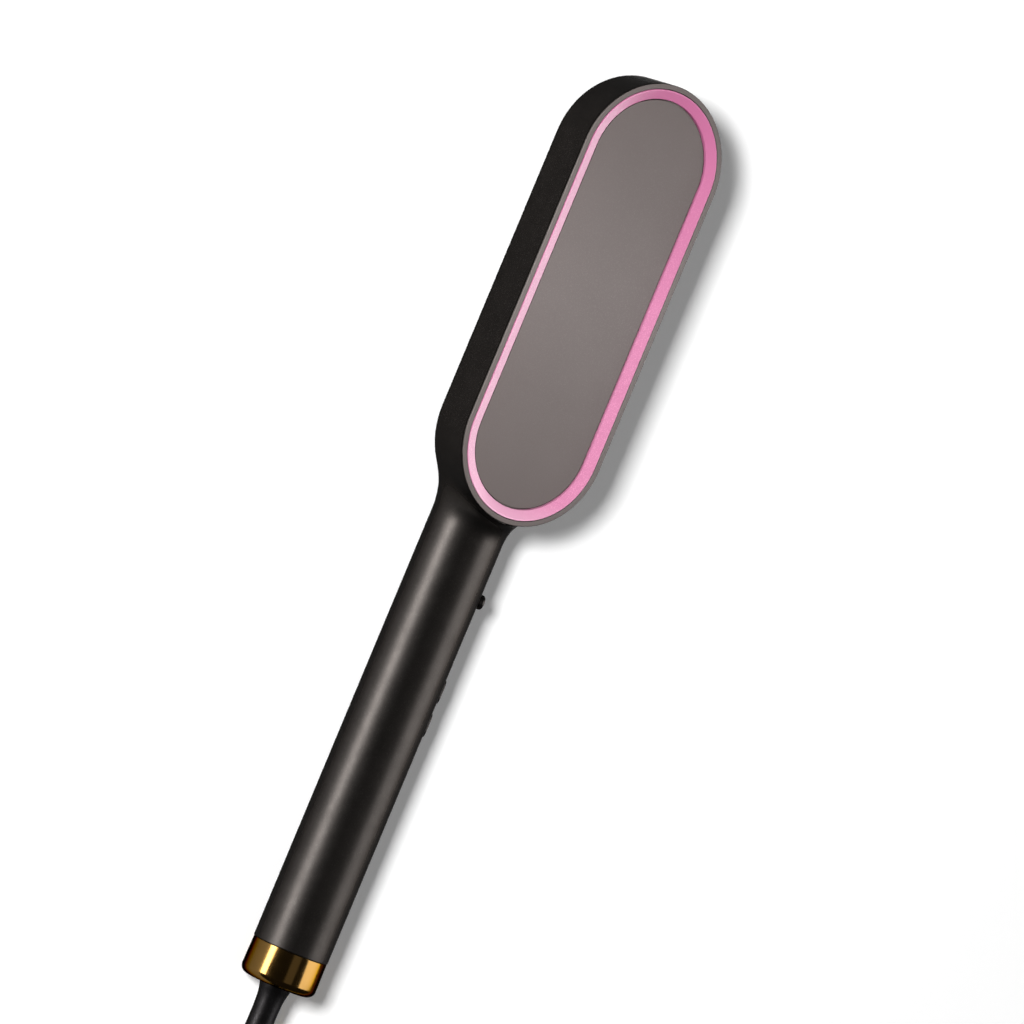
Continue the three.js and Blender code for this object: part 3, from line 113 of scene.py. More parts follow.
# The cord's free stretches and the hank's sizes, as in the part's source, with closer ends
CORD_POINTS = [
    (-38.02, 0, 12.2), (-47, 0, 12.1), (-56, 0.6, 11.2), (-65, 2.6, 9.2), (-74, 6, 6.8), (-83, 10.4, 4.6),
    (-92, 15, 3.3), (-101, 19.4, 2.84), (-109, 22.4, 2.84), (-117, 24.1, 2.82), (-124.7, 24.4, 2.8),
]
TAIL_POINTS = [
    (-124.7, -24.4, 21.4), (-119, -24.4, 21.3), (-112, -24.4, 20.3), (-104, -24.4, 17.6),
    (-96, -24.4, 13.8), (-88, -24.4, 10.2), (-81, -24.4, 7.9), (-75.5, -24.4, 7.1), (-70.3, -24.4, 7),
]
HANK_RUN = 84.0
HANK_FOLD = 17.0
HANK_STEP = 7.4
HANK_LAYER = 6.2
HANK_LAYERS = 4
HANK_WAIST = 9.0
HANK_X = -167.0
HANK_STEPS = 72
TIE_WIDTH = 9.0
TIE_THICKNESS = 0.8

# The camera, in metres and degrees
VIEW_YAW = 30.0
VIEW_ROLL = 22.69
VIEW_DISTANCE = 2.2
VIEW_ANGLE = 8.09
VIEW_TARGET = (0.0303, -0.0020, 0.0305)
VIEW_NEAR, VIEW_FAR = 0.01, 50.0


def place(points):
    """Points in millimetres along the brush as metres in the part's frame."""
    return (np.asarray(points, float) - (MIDDLE_X, 0, 0)) * MM


def make_camera():
    yaw, roll = radians(VIEW_YAW), radians(VIEW_ROLL)
    side = Vector((0, sin(yaw), cos(yaw)))
    across = Vector((0, -cos(yaw), sin(yaw)))
    along = Vector((1, 0, 0))
    right = along * sin(roll) + across * cos(roll)
    up = along * cos(roll) - across * sin(roll)
    data = bpy.data.cameras.new("camera")
    camera = link("camera", data)
    turn = Matrix((right, up, side)).transposed().to_4x4()
    camera.matrix_world = Matrix.Translation(Vector(VIEW_TARGET) + side * VIEW_DISTANCE) @ turn
    data.sensor_fit = "HORIZONTAL"
    data.angle = radians(VIEW_ANGLE)
    data.clip_start, data.clip_end = VIEW_NEAR, VIEW_FAR
    bpy.context.scene.camera = camera


# Mesh helpers


def link(name, data):
    """Data as an object in the scene, both with the given name."""
    data.name = name
    piece = bpy.data.objects.new(name, data)
    bpy.context.scene.collection.objects.link(piece)
    return piece


def mesh_of(points, faces):
    """A mesh with its faces pointing out, from points in millimetres."""
    mesh = bpy.data.meshes.new("form")
    mesh.from_pydata(place(points).tolist(), [], faces)
    mesh.validate()
    if volume_of(mesh) < 0:
        mesh.flip_normals()
    mesh.update()
    return mesh


def read(items, field, kind=float, width=3):
    """A property of all items, a row for each when it has more than one value."""
    values = np.empty(len(items) * width, kind)
    items.foreach_get(field, values)
    return values.reshape(-1, width) if width > 1 else values


def volume_of(mesh):
    mesh.calc_loop_triangles()
    corners = read(mesh.loop_triangles, "vertices", np.int32)
    points = read(mesh.vertices, "co")
    a, b, c = (points[corners[:, k]] for k in range(3))
    return np.einsum("ij,ij->i", a, np.cross(b, c)).sum()


def bands(rows, count, closed=False):
    """Faces between rings of equal counts."""
    faces = []
    for r in range(rows if closed else rows - 1):
        here, there = r * count, (r + 1) % rows * count
        for i in range(count):
            j = (i + 1) % count
            faces.append((here + i, here + j, there + j, there + i))
    return faces


def loft(rings, closed=False):
    """A mesh through rings of equal counts, with flat ends, or joined end to end when closed."""
    rings = np.asarray(rings, float)
    rows, count = rings.shape[:2]
    faces = bands(rows, count, closed)
    if not closed:
        faces.append(tuple(reversed(range(count))))
        faces.append(tuple(range((rows - 1) * count, rows * count)))
    return mesh_of(rings.reshape(-1, 3), faces)


def box(x0, x1, y0, y1, z0, z1):
    ring = [(y0, z0), (y1, z0), (y1, z1), (y0, z1)]
    return loft([[(x, y, z) for y, z in ring] for x in (x0, x1)])


def turned(profile, y=0.0, z=AXIS_Z, steps=96):
    """A mesh turned about a line along X, closed by its ends on the line or else from last to first."""
    points, faces, rows = [], [], []
    for x, radius in profile:
        if radius < TINY:
            rows.append([len(points)])
            points.append((x, y, z))
            continue
        rows.append(range(len(points), len(points) + steps))
        for i in range(steps):
            angle = 2 * pi * i / steps
            points.append((x, y + radius * cos(angle), z + radius * sin(angle)))
    if len(rows[0]) > 1 and len(rows[-1]) > 1:
        rows.append(rows[0])
    for here, there in zip(rows, rows[1:]):
        a, b = len(here), len(there)
        for i in range(steps):
            j = (i + 1) % steps
            face = tuple(dict.fromkeys((here[i % a], here[j % a], there[j % b], there[i % b])))
            if len(face) > 2:
                faces.append(face)
    return mesh_of(points, faces)


def quarter(steps, first=0):
    """The angles of a quarter turn."""
    return [pi / 2 * i / steps for i in range(first, steps + 1)]


def edge_round(x, radius, along, across, turns):
    """Places and radii of a turned form round an edge."""
    return [(x + along * sin(t), radius - across * (1 - cos(t))) for t in turns]


def level_rings(profile, steps, x=0, y=0):
    """Round rings from pairs of a radius and a height."""
    angles = np.arange(steps) * 2 * pi / steps
    return [[(x + r * cos(a), y + r * sin(a), z) for a in angles] for r, z in profile]


def upright(x, y, radius, z0, z1, steps=48):
    return loft(level_rings([(radius, z0), (radius, z1)], steps, x, y))


def joined(meshes):
    """Several meshes as one."""
    points, faces = [], []
    for mesh in meshes:
        first = len(points)
        points += [tuple(v.co) for v in mesh.vertices]
        faces += [tuple(first + i for i in p.vertices) for p in mesh.polygons]
    result = bpy.data.meshes.new("form")
    result.from_pydata(points, [], faces)
    for mesh in meshes:
        bpy.data.meshes.remove(mesh)
    return result


def combine(piece, form, operation):
    """Cuts a mesh out of a piece, adds it or keeps what they share."""
    tool = link("tool", form)
    modifier = piece.modifiers.new("combine", "BOOLEAN")
    modifier.operation = operation
    modifier.solver = "MANIFOLD"
    modifier.object = tool
    bpy.context.view_layer.update()
    evaluated = piece.evaluated_get(bpy.context.evaluated_depsgraph_get())
    mesh = bpy.data.meshes.new_from_object(evaluated)
    piece.modifiers.remove(modifier)
    old, piece.data = piece.data, mesh
    bpy.data.meshes.remove(old)
    bpy.data.objects.remove(tool)
    bpy.data.meshes.remove(form)


def add(piece, form):
    combine(piece, form, "UNION")


def cut(piece, form):
    combine(piece, form, "DIFFERENCE")


def smooth(mesh, angle):
    mesh.polygons.foreach_set("use_smooth", np.ones(len(mesh.polygons), bool))
    mesh.set_sharp_from_angle(angle=radians(angle))


def finish(piece, slot, *nodes, body="brush", look=None, sharp=SHARP):
    """Gives a piece its shading, its finish or else its slot's, its body and the solids it stands for."""
    if sharp:
        smooth(piece.data, sharp)
    piece.data.materials.clear()
    piece.data.materials.append(MATERIALS[look or slot])
    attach(piece, body)
    if nodes:
        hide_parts(*nodes)
    return piece


# Outlines and fields of the head and the handle


def stadium(centre, half_width, end_reach, half_straight, steps, straight_steps=1):
    """Points round an outline with straight sides along X and elliptical ends."""
    points = []
    for side in (1, -1):
        for i in range(steps + 1):
            angle = -pi / 2 + pi * i / steps
            points.append((centre + side * (half_straight + end_reach * cos(angle)),
                           side * half_width * sin(angle)))
        for i in range(1, straight_steps):
            points.append((centre + side * half_straight * (1 - 2 * i / straight_steps), side * half_width))
    return np.array(points)


def head_outline(inset, steps=72, straight_steps=1):
    return stadium(HEAD_X, HEAD_WIDTH / 2 - inset, END_REACH - inset, HEAD_LENGTH / 2 - END_REACH,
                   steps, straight_steps)


def comb_outline(inset, steps=48):
    half_straight = (COMB_X1 - COMB_X0) / 2 - COMB_END_REACH
    return stadium(COMB_X, COMB_HALF_WIDTH - inset, COMB_END_REACH - inset, half_straight, steps)


def raised(outline, z):
    return np.column_stack([outline, np.full(len(outline), z)])


def head_loft(section, steps=72, straight_steps=1, closed=False):
    """A form round the head, from pairs of an inset and a height."""
    return loft([raised(head_outline(inset, steps, straight_steps), z) for inset, z in section], closed)


def outwards(x, y):
    """1 on the head's side wall and less inside it."""
    past = np.maximum(np.abs(x - HEAD_X) - (HEAD_LENGTH / 2 - END_REACH), 0)
    return np.hypot(past / END_REACH, y / (HEAD_WIDTH / 2))


def outside_head(x, y, z):
    wall = (outwards(x, y) - 1) * HEAD_WIDTH / 2
    a, b = wall + COMB_EDGE_RADIUS, COMB_SIDE_Z + COMB_EDGE_RADIUS - z
    beyond = np.hypot(np.maximum(a, 0), np.maximum(b, 0)) + np.minimum(np.maximum(a, b), 0)
    return beyond - COMB_EDGE_RADIUS


def outside_handle(x, y, z):
    past = np.maximum(x - HEAD_START, 0) * HANDLE_RADIUS / NOSE_LENGTH
    return np.sqrt(past ** 2 + y ** 2 + (z - AXIS_Z) ** 2) - HANDLE_RADIUS


def outside_both(x, y, z):
    """How far a point lies outside the head and the handle, which meet in a soft hollow."""
    a, b = outside_head(x, y, z), outside_handle(x, y, z)
    near = np.maximum(NECK_BLEND - np.abs(a - b), 0) / NECK_BLEND
    return np.minimum(a, b) - near * near * NECK_BLEND / 4


def head_form(steps=14):
    edge = COMB_EDGE_RADIUS
    corner = [(edge * (1 - cos(t)), COMB_SIDE_Z + edge * (1 - sin(t))) for t in quarter(steps)]
    return head_loft([(0, WALL_TOP), *corner], steps=96, straight_steps=8)


# Rings of the neck about the head's start: first, last and count
NECK_RINGS = ((-16, -4, 13), (-3.4, 3.4, 18), (4, 16, 17), (17.5, 29, 8))
HANDLE_RINGS = (20, HEAD_START - 20, 10)
NECK_SINK, NECK_TAPER, TAPER_START, TAPER_LENGTH = 0.2, 0.6, 14, 15


def neck_form(steps=128, stride=0.5, halvings=24, least=0.01):
    """The handle and the neck as rings round the handle's axis."""
    near = np.concatenate([np.linspace(*rings) for rings in NECK_RINGS])
    round_end = np.linspace(0, pi / 2, 7)
    stations = np.concatenate([HANDLE_START + END_EDGE * (1 - np.cos(round_end)),
                               np.linspace(*HANDLE_RINGS), HEAD_START + near])
    angles = 2 * pi * np.arange(steps) / steps
    x, angle = np.meshgrid(stations, angles, indexing="ij")
    c, s = np.cos(angle), np.sin(angle)
    inside, outside = np.zeros_like(x), np.full_like(x, HEAD_WIDTH)
    for r in np.arange(HEAD_WIDTH, 0, -stride):
        hit = (outside_both(x, r * c, AXIS_Z + r * s) < 0) & (inside == 0)
        inside[hit], outside[hit] = r, r + stride
    for _ in range(halvings):
        r = (inside + outside) / 2
        low = outside_both(x, r * c, AXIS_Z + r * s) < 0
        inside, outside = np.where(low, r, inside), np.where(low, outside, r)
    top = WALL_TOP - NECK_SINK - AXIS_Z
    radius = np.where(s > least, np.minimum(inside, top / np.maximum(s, least)), inside)
    radius -= NECK_TAPER * np.maximum(x - HEAD_START - TAPER_START, 0) / TAPER_LENGTH
    radius[:len(round_end)] -= END_EDGE * (1 - np.sin(round_end))[:, None]
    return loft(np.stack([x, radius * c, AXIS_Z + radius * s], axis=-1))


def bore_form(steps=12):
    nose, start = NOSE_LENGTH - WALL, HANDLE_START - PAST
    round_end = [(HEAD_START + nose * sin(t), BORE_RADIUS * cos(t)) for t in quarter(steps)[:-1]]
    return turned([(start, 0), (start, BORE_RADIUS), *round_end, (HEAD_START + nose, 0)], steps=64)


def to_controls(mesh):
    """Turns a mesh that was made upright on the handle's axis to the handle's side."""
    axis = Vector((0, 0, AXIS_Z * MM))
    turn = Matrix.Translation(axis) @ Matrix.Rotation(radians(90 - CONTROL_TILT), 4, "X")
    mesh.transform(turn)
    return mesh


def pill(x, length, width, z0, z1, steps=20):
    outline = stadium(x, width / 2, width / 2, (length - width) / 2, steps)
    return loft([raised(outline, z0), raised(outline, z1)])


CONTROL_PLACES = (25.2, 40.2, 55.2, 66.2)
POWER_X, DISPLAY_X, PLUS_X, MINUS_X = (HEAD_START - d for d in CONTROL_PLACES)
POWER_RADIUS = 2.3
KEY_LENGTH, KEY_WIDTH, KEY_RISE = 8.0, 5.0, 0.5
WINDOW_LENGTH, WINDOW_WIDTH = 14.0, 7.0
OPENING_BELOW, OPENING_ABOVE = 4.0, 2.0


def control_openings():
    reach = (BORE_RADIUS - OPENING_BELOW, HANDLE_RADIUS + OPENING_ABOVE)
    keys = [pill(x, KEY_LENGTH + 2 * SLIDE_GAP, KEY_WIDTH + 2 * SLIDE_GAP, *reach)
            for x in (PLUS_X, MINUS_X)]
    return to_controls(joined([
        upright(POWER_X, 0, POWER_RADIUS + SLIDE_GAP, *reach, 64),
        pill(DISPLAY_X, WINDOW_LENGTH + 2 * GAP, WINDOW_WIDTH + 2 * GAP, *reach), *keys,
    ]))


def shade_by_form(mesh, tolerance=0.45, agreement=0.93, eps=0.02):
    """Normals of the outer skin come from the form itself, and the cuts keep sharp edges."""
    smooth(mesh, SHARP_SKIN)
    normals = read(mesh.corner_normals, "vector", np.float32)
    points = read(mesh.vertices, "co") / MM + (MIDDLE_X, 0, 0)
    centre = read(mesh.polygons, "center") / MM + (MIDDLE_X, 0, 0)
    totals = read(mesh.polygons, "loop_total", np.int32, 1)

    def slope(points):
        g = np.column_stack([outside_both(*(points + step).T) - outside_both(*(points - step).T)
                             for step in np.eye(3) * eps])
        return g / np.maximum(np.linalg.norm(g, axis=1, keepdims=True), TINY)

    agree = np.einsum("ij,ij->i", slope(centre), read(mesh.polygons, "normal"))
    outer = (np.abs(outside_both(*centre.T)) < tolerance) & (agree > agreement)
    at_corner = slope(points)[read(mesh.loops, "vertex_index", np.int32, 1)]
    normals = np.where(np.repeat(outer, totals)[:, None], at_corner, normals)
    mesh.normals_split_custom_set(normals.tolist())


# Finishes


# The Mix node's colour sockets
MIX_FIRST, MIX_SECOND, MIX_RESULT = 6, 7, 2
SPECK_BORDER, WEAR_SCALE, COAT_ROUGHNESS = 0.6, 3.1, 0.25


def set_inputs(node, **inputs):
    for key, value in inputs.items():
        node.inputs[key.replace("_", " ")].default_value = value
    return node


def add_node(tree, kind, **inputs):
    return set_inputs(tree.nodes.new("ShaderNode" + kind), **inputs)


def texture(tree, coords, kind, stretch, **inputs):
    """A texture in metres, stretched along the axes."""
    mapping = add_node(tree, "Mapping", Scale=stretch)
    tree.links.new(coords, mapping.inputs["Vector"])
    node = add_node(tree, kind, **inputs)
    tree.links.new(mapping.outputs["Vector"], node.inputs["Vector"])
    return node


def noise(tree, coords, scale, detail, roughness, stretch):
    """A noise from 0 to 1."""
    sizes = {"Scale": scale, "Detail": detail, "Roughness": roughness}
    return texture(tree, coords, "TexNoise", stretch, **sizes).outputs["Fac"]


def ranged(tree, value, low, high, start=0.3, stop=0.7):
    node = add_node(tree, "MapRange", From_Min=start, From_Max=stop, To_Min=low, To_Max=high)
    tree.links.new(value, node.inputs["Value"])
    return node.outputs["Result"]


def blend_colours(tree, factor, first, second):
    node = add_node(tree, "Mix")
    node.data_type = "RGBA"
    tree.links.new(factor, node.inputs["Factor"])
    for socket, value in ((node.inputs[MIX_FIRST], first), (node.inputs[MIX_SECOND], second)):
        if isinstance(value, tuple):
            socket.default_value = (*value, 1)
        else:
            tree.links.new(value, socket)
    return node.outputs[MIX_RESULT]


def bumped(tree, height, strength, distance, below=None):
    node = add_node(tree, "Bump", Strength=strength, Distance=distance)
    tree.links.new(height, node.inputs["Height"])
    if below:
        tree.links.new(below, node.inputs["Normal"])
    return node.outputs["Normal"]


def new_material(name):
    """A material with a Principled shader, and the coordinates that ride with the piece."""
    material = bpy.data.materials.new(name)
    material.use_nodes = True
    tree = material.node_tree
    shader = tree.nodes["Principled BSDF"]
    coords = add_node(tree, "TexCoord").outputs["Object"]
    return material, tree, shader, coords


def srgb(r, g, b):
    """A colour from 0 to 255 as the shader's linear values."""
    return tuple((c / 255 / 12.92 if c <= 10.31 else ((c / 255 + 0.055) / 1.055) ** 2.4) for c in (r, g, b))


def scaled(colour, factor):
    return tuple(min(c * factor, 1.0) for c in colour)


def specks(tree, coords, scale, share, stretch):
    """Small cells, of which the given share is 1 and the others 0, with soft borders."""
    node = texture(tree, coords, "TexVoronoi", stretch, Scale=scale)
    split = add_node(tree, "SeparateColor")
    tree.links.new(node.outputs["Color"], split.inputs["Color"])
    return ranged(tree, split.outputs["Red"], 0, 1, 1 - share, 1 - share * SPECK_BORDER)


def counted(tree, operation, value, other=0.0):
    """A Math node on a value and a number."""
    node = add_node(tree, "Math")
    node.operation = operation
    node.inputs[1].default_value = other
    tree.links.new(value, node.inputs[0])
    return node


def painted_light_and_shade_along_x(tree, coords, shade, colour, middle, level, end):
    """Painted light and shade: a colour that turns to another along X, from a level stretch round the
    middle to both sides.
    """
    split = add_node(tree, "SeparateXYZ")
    tree.links.new(coords, split.inputs["Vector"])
    away = counted(tree, "SUBTRACT", split.outputs["X"], middle)
    distance = counted(tree, "ABSOLUTE", away.outputs[0])
    return blend_colours(tree, ranged(tree, distance.outputs[0], 0, 1, level, end), shade, colour)


DARK = (0.0, 0.0, 0.0)
EVEN = (1, 1, 1)
ROUND_X = (1, 0.03, 0.03)
ALONG_X = (0.03, 1, 1)
SKIN = (2600, 0.2, 0.03, EVEN)
PEEL = (700, 0.1, 0.03, EVEN)
# How far past the head's middle the panel's painted light peaks; painted shade darkens it towards both ends
PAINTED_LIGHT_PEAK_PAST = 3
# Every finish by its name
MATERIALS = {}


def moulded(name, colour, roughness, *, specular=0.5, metallic=0.0, edge=None, coat=0.0, mottle=0.12,
            mottle_scale=90.0, gloss_swing=0.06, speck=None, reliefs=((2600, 0.25, 0.04, EVEN),),
            turns=(), stretch=EVEN):
    """A surface with faint cloudy colour, uneven gloss, specks of another colour and fine reliefs.

    A relief has a scale per metre, a strength, a height in millimetres and a stretch along the axes.
    A turn is painted light and shade along X: a colour, a place along X and the distances from it where the
    colour begins and is full.
    """
    material, tree, shader, coords = new_material(name)
    clouds = noise(tree, coords, mottle_scale, detail=5, roughness=0.6, stretch=stretch)
    shade = blend_colours(tree, ranged(tree, clouds, 0, 1), scaled(colour, 1 - mottle),
                          scaled(colour, 1 + mottle))
    if speck:
        speck_colour, scale, share = speck
        shade = blend_colours(tree, specks(tree, coords, scale, share, stretch), shade, speck_colour)
    # Each turn paints light and shade into the colour along X
    for turn in turns:
        shade = painted_light_and_shade_along_x(tree, coords, shade, *turn)
    tree.links.new(shade, shader.inputs["Base Color"])
    wear = noise(tree, coords, mottle_scale * WEAR_SCALE, detail=6, roughness=0.65, stretch=stretch)
    tree.links.new(ranged(tree, wear, roughness - gloss_swing, roughness + gloss_swing),
                   shader.inputs["Roughness"])
    normal = None
    for scale, strength, depth, along in reliefs:
        height = noise(tree, coords, scale, detail=3, roughness=0.6, stretch=along)
        normal = bumped(tree, height, strength, depth * MM, normal)
    tree.links.new(normal, shader.inputs["Normal"])
    set_inputs(shader, Metallic=metallic, Specular_IOR_Level=specular)
    if edge:
        set_inputs(shader, Specular_Tint=(*edge, 1))
    if coat:
        set_inputs(shader, Coat_Weight=coat, Coat_Roughness=COAT_ROUGHNESS)
    MATERIALS[name] = material


make_camera()
moulded("soft_black", (0.0245, 0.022, 0.0205), 0.39, metallic=0.95, edge=(0.12, 0.115, 0.11), mottle=0.1,
        gloss_swing=0.03, reliefs=(PEEL, SKIN), speck=((0.033, 0.030, 0.028), 5200, 0.12))
moulded("button_black", (0.026, 0.0235, 0.022), 0.3, metallic=0.95, edge=DARK, mottle=0.08,
        gloss_swing=0.04, reliefs=(SKIN,))
# The ring's colour darkens towards the head's far end as painted shade, and lightens at the head's near end
# as painted light
moulded("pink_trim", srgb(210, 131, 168), 0.34, specular=0.45, mottle=0.03, gloss_swing=0.04,
        reliefs=((4200, 0.12, 0.01, EVEN),), speck=(srgb(226, 152, 186), 5200, 0.2),
        turns=((srgb(193, 109, 150), (HEAD_START - MIDDLE_X) * MM, 0.07, 0.134),
               (srgb(223, 160, 189), (LENGTH - MIDDLE_X) * MM, 0.131, 0.14)))
# The panel's colour darkens towards both ends of the head: painted shade
moulded("grey_panel", srgb(120, 112, 110), 0.66, specular=0.09, mottle=0.03, mottle_scale=40,
        reliefs=((5200, 0.2, 0.015, EVEN), PEEL), speck=(srgb(130, 122, 120), 6500, 0.15),
        turns=((srgb(101, 93, 91), (HEAD_X - MIDDLE_X + PAINTED_LIGHT_PEAK_PAST) * MM, 0.006, 0.078),))
moulded("comb_plastic", srgb(36, 33, 34), 0.5, specular=0.4, speck=(srgb(50, 47, 48), 3800, 0.2))
moulded("coated_metal", srgb(122, 90, 82), 0.42, metallic=0.6, mottle=0.08,
        speck=(srgb(178, 146, 134), 7000, 0.15))
moulded("ceramic", srgb(230, 226, 216), 0.6, mottle=0.05, speck=(srgb(206, 200, 186), 3000, 0.1))
moulded("amber_film", srgb(200, 134, 42), 0.3, mottle=0.08, coat=0.5,
        reliefs=((420, 0.25, 0.05, (1, 0.2, 1)), SKIN))
moulded("steel", srgb(190, 192, 195), 0.3, metallic=1.0, mottle=0.05, stretch=(0.15, 1, 1),
        reliefs=((6000, 0.15, 0.01, ALONG_X), SKIN))
moulded("white_plastic", srgb(222, 219, 210), 0.5, mottle=0.03, reliefs=(PEEL, SKIN))
moulded("red_wire", srgb(168, 50, 44), 0.5, speck=(srgb(182, 66, 58), 2500, 0.2))
moulded("blue_wire", srgb(44, 79, 154), 0.5, speck=(srgb(58, 94, 168), 2500, 0.2))
moulded("board_green", srgb(31, 90, 58), 0.4, mottle=0.15, mottle_scale=700, coat=0.4,
        speck=(srgb(48, 112, 72), 900, 0.3))
moulded("component_black", srgb(42, 42, 44), 0.5, speck=(srgb(58, 58, 60), 5000, 0.15))
moulded("smoked_window", srgb(12, 12, 15), 0.08, mottle=0.2, gloss_swing=0.03, coat=0.6,
        reliefs=((900, 0.02, 0.01, EVEN),))
moulded("gold", (0.12, 0.068, 0.02), 0.15, metallic=1.0, edge=DARK, mottle=0.05, gloss_swing=0.025,
        reliefs=((9000, 0.05, 0.004, ROUND_X), (600, 0.03, 0.01, EVEN)))
moulded("cord_rubber", (0.0125, 0.0118, 0.012), 0.42, metallic=0.9, edge=DARK, mottle=0.1,
        reliefs=(PEEL, SKIN), speck=((0.018, 0.017, 0.018), 3600, 0.15))
moulded("brass", srgb(200, 168, 96), 0.28, metallic=1.0, mottle=0.05,
        reliefs=((7000, 0.12, 0.01, ROUND_X), SKIN))


def dress_solids():
    """Every solid that stays gets its slot's finish."""
    for row in frame["record"]["subparts"]:
        solid = frame["nodes"][row["node"]]
        solid.data.materials.clear()
        solid.data.materials.append(MATERIALS[row["material_slot"]])


# The cord


def loop_point(turns, radius):
    """A point on a hank's loop: a run, a fold, a run and a fold."""
    part = turns % 1
    back = part >= 0.5 - TINY
    half = (part - 0.5 if back else part) * 2
    side = -1 if back else 1
    if half <= 1 / 3 + TINY:
        along = HANK_RUN * (0.5 - 3 * half)
        waist = cos(pi * along / HANK_RUN) ** 2
        return side * along, side * (radius - HANK_WAIST * waist), waist
    angle = pi * (half - 1 / 3) * 1.5
    return side * (-HANK_RUN / 2 - radius * sin(angle)), side * radius * cos(angle), 0.0


def hank_line():
    outer = HANK_FOLD + HANK_STEP
    points = []

    def push(turns, radius, rise):
        x, y, waist = loop_point(turns, radius)
        points.append((HANK_X + x, y, CORD_RADIUS + rise + waist * (TIE_THICKNESS + GAP)))

    turns = 0.0
    for layer in range(HANK_LAYERS):
        inwards = layer % 2 == 0
        last = layer == HANK_LAYERS - 1
        for i in range(HANK_STEPS):
            share = i / HANK_STEPS
            radius = outer - HANK_STEP * share if inwards else HANK_FOLD + HANK_STEP * share
            push(turns + share, radius, layer * HANK_LAYER)
        turns += 1
        climb = HANK_STEPS // 6 if last else HANK_STEPS // 2
        for i in range(climb + (1 if last else 0)):
            rise = layer if last else layer + 2 * i / HANK_STEPS
            push(turns + i / HANK_STEPS, HANK_FOLD if inwards else outer, rise * HANK_LAYER)
        turns += 0.5
    return points


def between(t, start, stop, first, second):
    return (stop - t) / (stop - start) * first + (t - start) / (stop - start) * second


def catmull(points, step=1.5):
    """Points close together on a centripetal curve through the given ones."""
    p = np.asarray(points, float)
    p = np.vstack([2 * p[0] - p[1], p, 2 * p[-1] - p[-2]])
    out = []
    for i in range(1, len(p) - 2):
        p0, p1, p2, p3 = p[i - 1:i + 3]
        t0 = 0.0
        t1 = t0 + np.linalg.norm(p1 - p0) ** 0.5
        t2 = t1 + np.linalg.norm(p2 - p1) ** 0.5
        t3 = t2 + np.linalg.norm(p3 - p2) ** 0.5
        pieces = max(2, int(np.linalg.norm(p2 - p1) / step))
        for t in np.linspace(t1, t2, pieces, endpoint=False):
            a1, a2, a3 = between(t, t0, t1, p0, p1), between(t, t1, t2, p1, p2), between(t, t2, t3, p2, p3)
            b1, b2 = between(t, t0, t2, a1, a2), between(t, t1, t3, a2, a3)
            out.append(tuple(between(t, t1, t2, b1, b2)))
    out.append(tuple(p[-2]))
    return out


def make_cord():
    line = catmull(CORD_POINTS)[:-1] + hank_line()[1:-1] + catmull(TAIL_POINTS)
    data = bpy.data.curves.new("mains_cord", "CURVE")
    data.dimensions = "3D"
    spline = data.splines.new("POLY")
    points = place(line)
    spline.points.add(len(points) - 1)
    spline.points.foreach_set("co", np.column_stack([points, np.ones(len(points))]).ravel())
    data.bevel_depth = CORD_RADIUS * MM
    data.bevel_resolution = 6
    data.use_fill_caps = True
    cord = link("mains_cord", data)
    spline.use_smooth = True
    length = float(np.linalg.norm(np.diff(points, axis=0), axis=1).sum())
    return cord, length


# The head and the handle


BOARD_INSET, HOLD_INSET, STOP_INSET = 2, 14, 10
BOARD_START, BOARD_STOP = 38.0, COVER_STOP - BOARD_INSET
BOARD_HOLDS = (BOARD_START + HOLD_INSET, BOARD_STOP - STOP_INSET)
BOARD_HALF_WIDTH, BOARD_MIDDLE, BOARD_SLOT = 7.5, -1.2, 1.1
HOLD_HALF, HOLD_REACH = 2.0, 1.5
SCREW_RADIUS, SCREW_HEAD, BOSS_RADIUS = 1.2, 2.3, 3.2
SCREW_SETBACK, SCREW_FIT, SCREW_HOLE = 1.9, 0.15, 10.0
TOOTH_PITCH, ROW_PITCH, HOT_ROWS, TEETH_MARGIN, PLATE_MARGIN, BOSS_CLEAR = 5.6, 5.4, 5, 22, 3, 1
TEETH_PER_ROW = int((COMB_X1 - COMB_X0 - TEETH_MARGIN) // TOOTH_PITCH)
TEETH_LENGTH = TOOTH_PITCH * TEETH_PER_ROW
HOT_PLATE_LENGTH = TEETH_LENGTH + PLATE_MARGIN
HOT_PLATE_Z = FLOOR_Z + GAP
SCREW_REACH = HOT_PLATE_LENGTH / 2 + BOSS_RADIUS + BOSS_CLEAR
SCREW_PAST = SCREW_REACH - (COMB_X1 - COMB_X0) / 2 + COMB_END_REACH
SCREW_Y = (COMB_HALF_WIDTH * sqrt(1 - (SCREW_PAST / COMB_END_REACH) ** 2) - SCREW_HEAD - SCREW_SETBACK)
SCREW_PLACES = [(COMB_X + end * SCREW_REACH, side * SCREW_Y) for end in (-1, 1) for side in (1, -1)]
# The head's inside: its softened lower corner and the ribs across it
CORNER_RISE, CORNER_SHARES = 0.8, (0.4, 0.85)
RIB_PITCH, RIB_HALF, RIB_REACH, RIB_FOOT = 34, 0.8, 14.75, 18.5
# The cover's lips and posts
LIP_INSET, LIP_THICKNESS, LIP_REACH = 2.0, 0.9, 1.4
POST_SIDES = (-3.4, 1.8)
# Small edges of lid and ring, and where the paint on the lid's side begins, as shares of its edge
FOOT_EDGE, RING_LEAN = 0.08, 0.02
PAINT_SIDE, PAINT_TOP = 0.6, 0.3


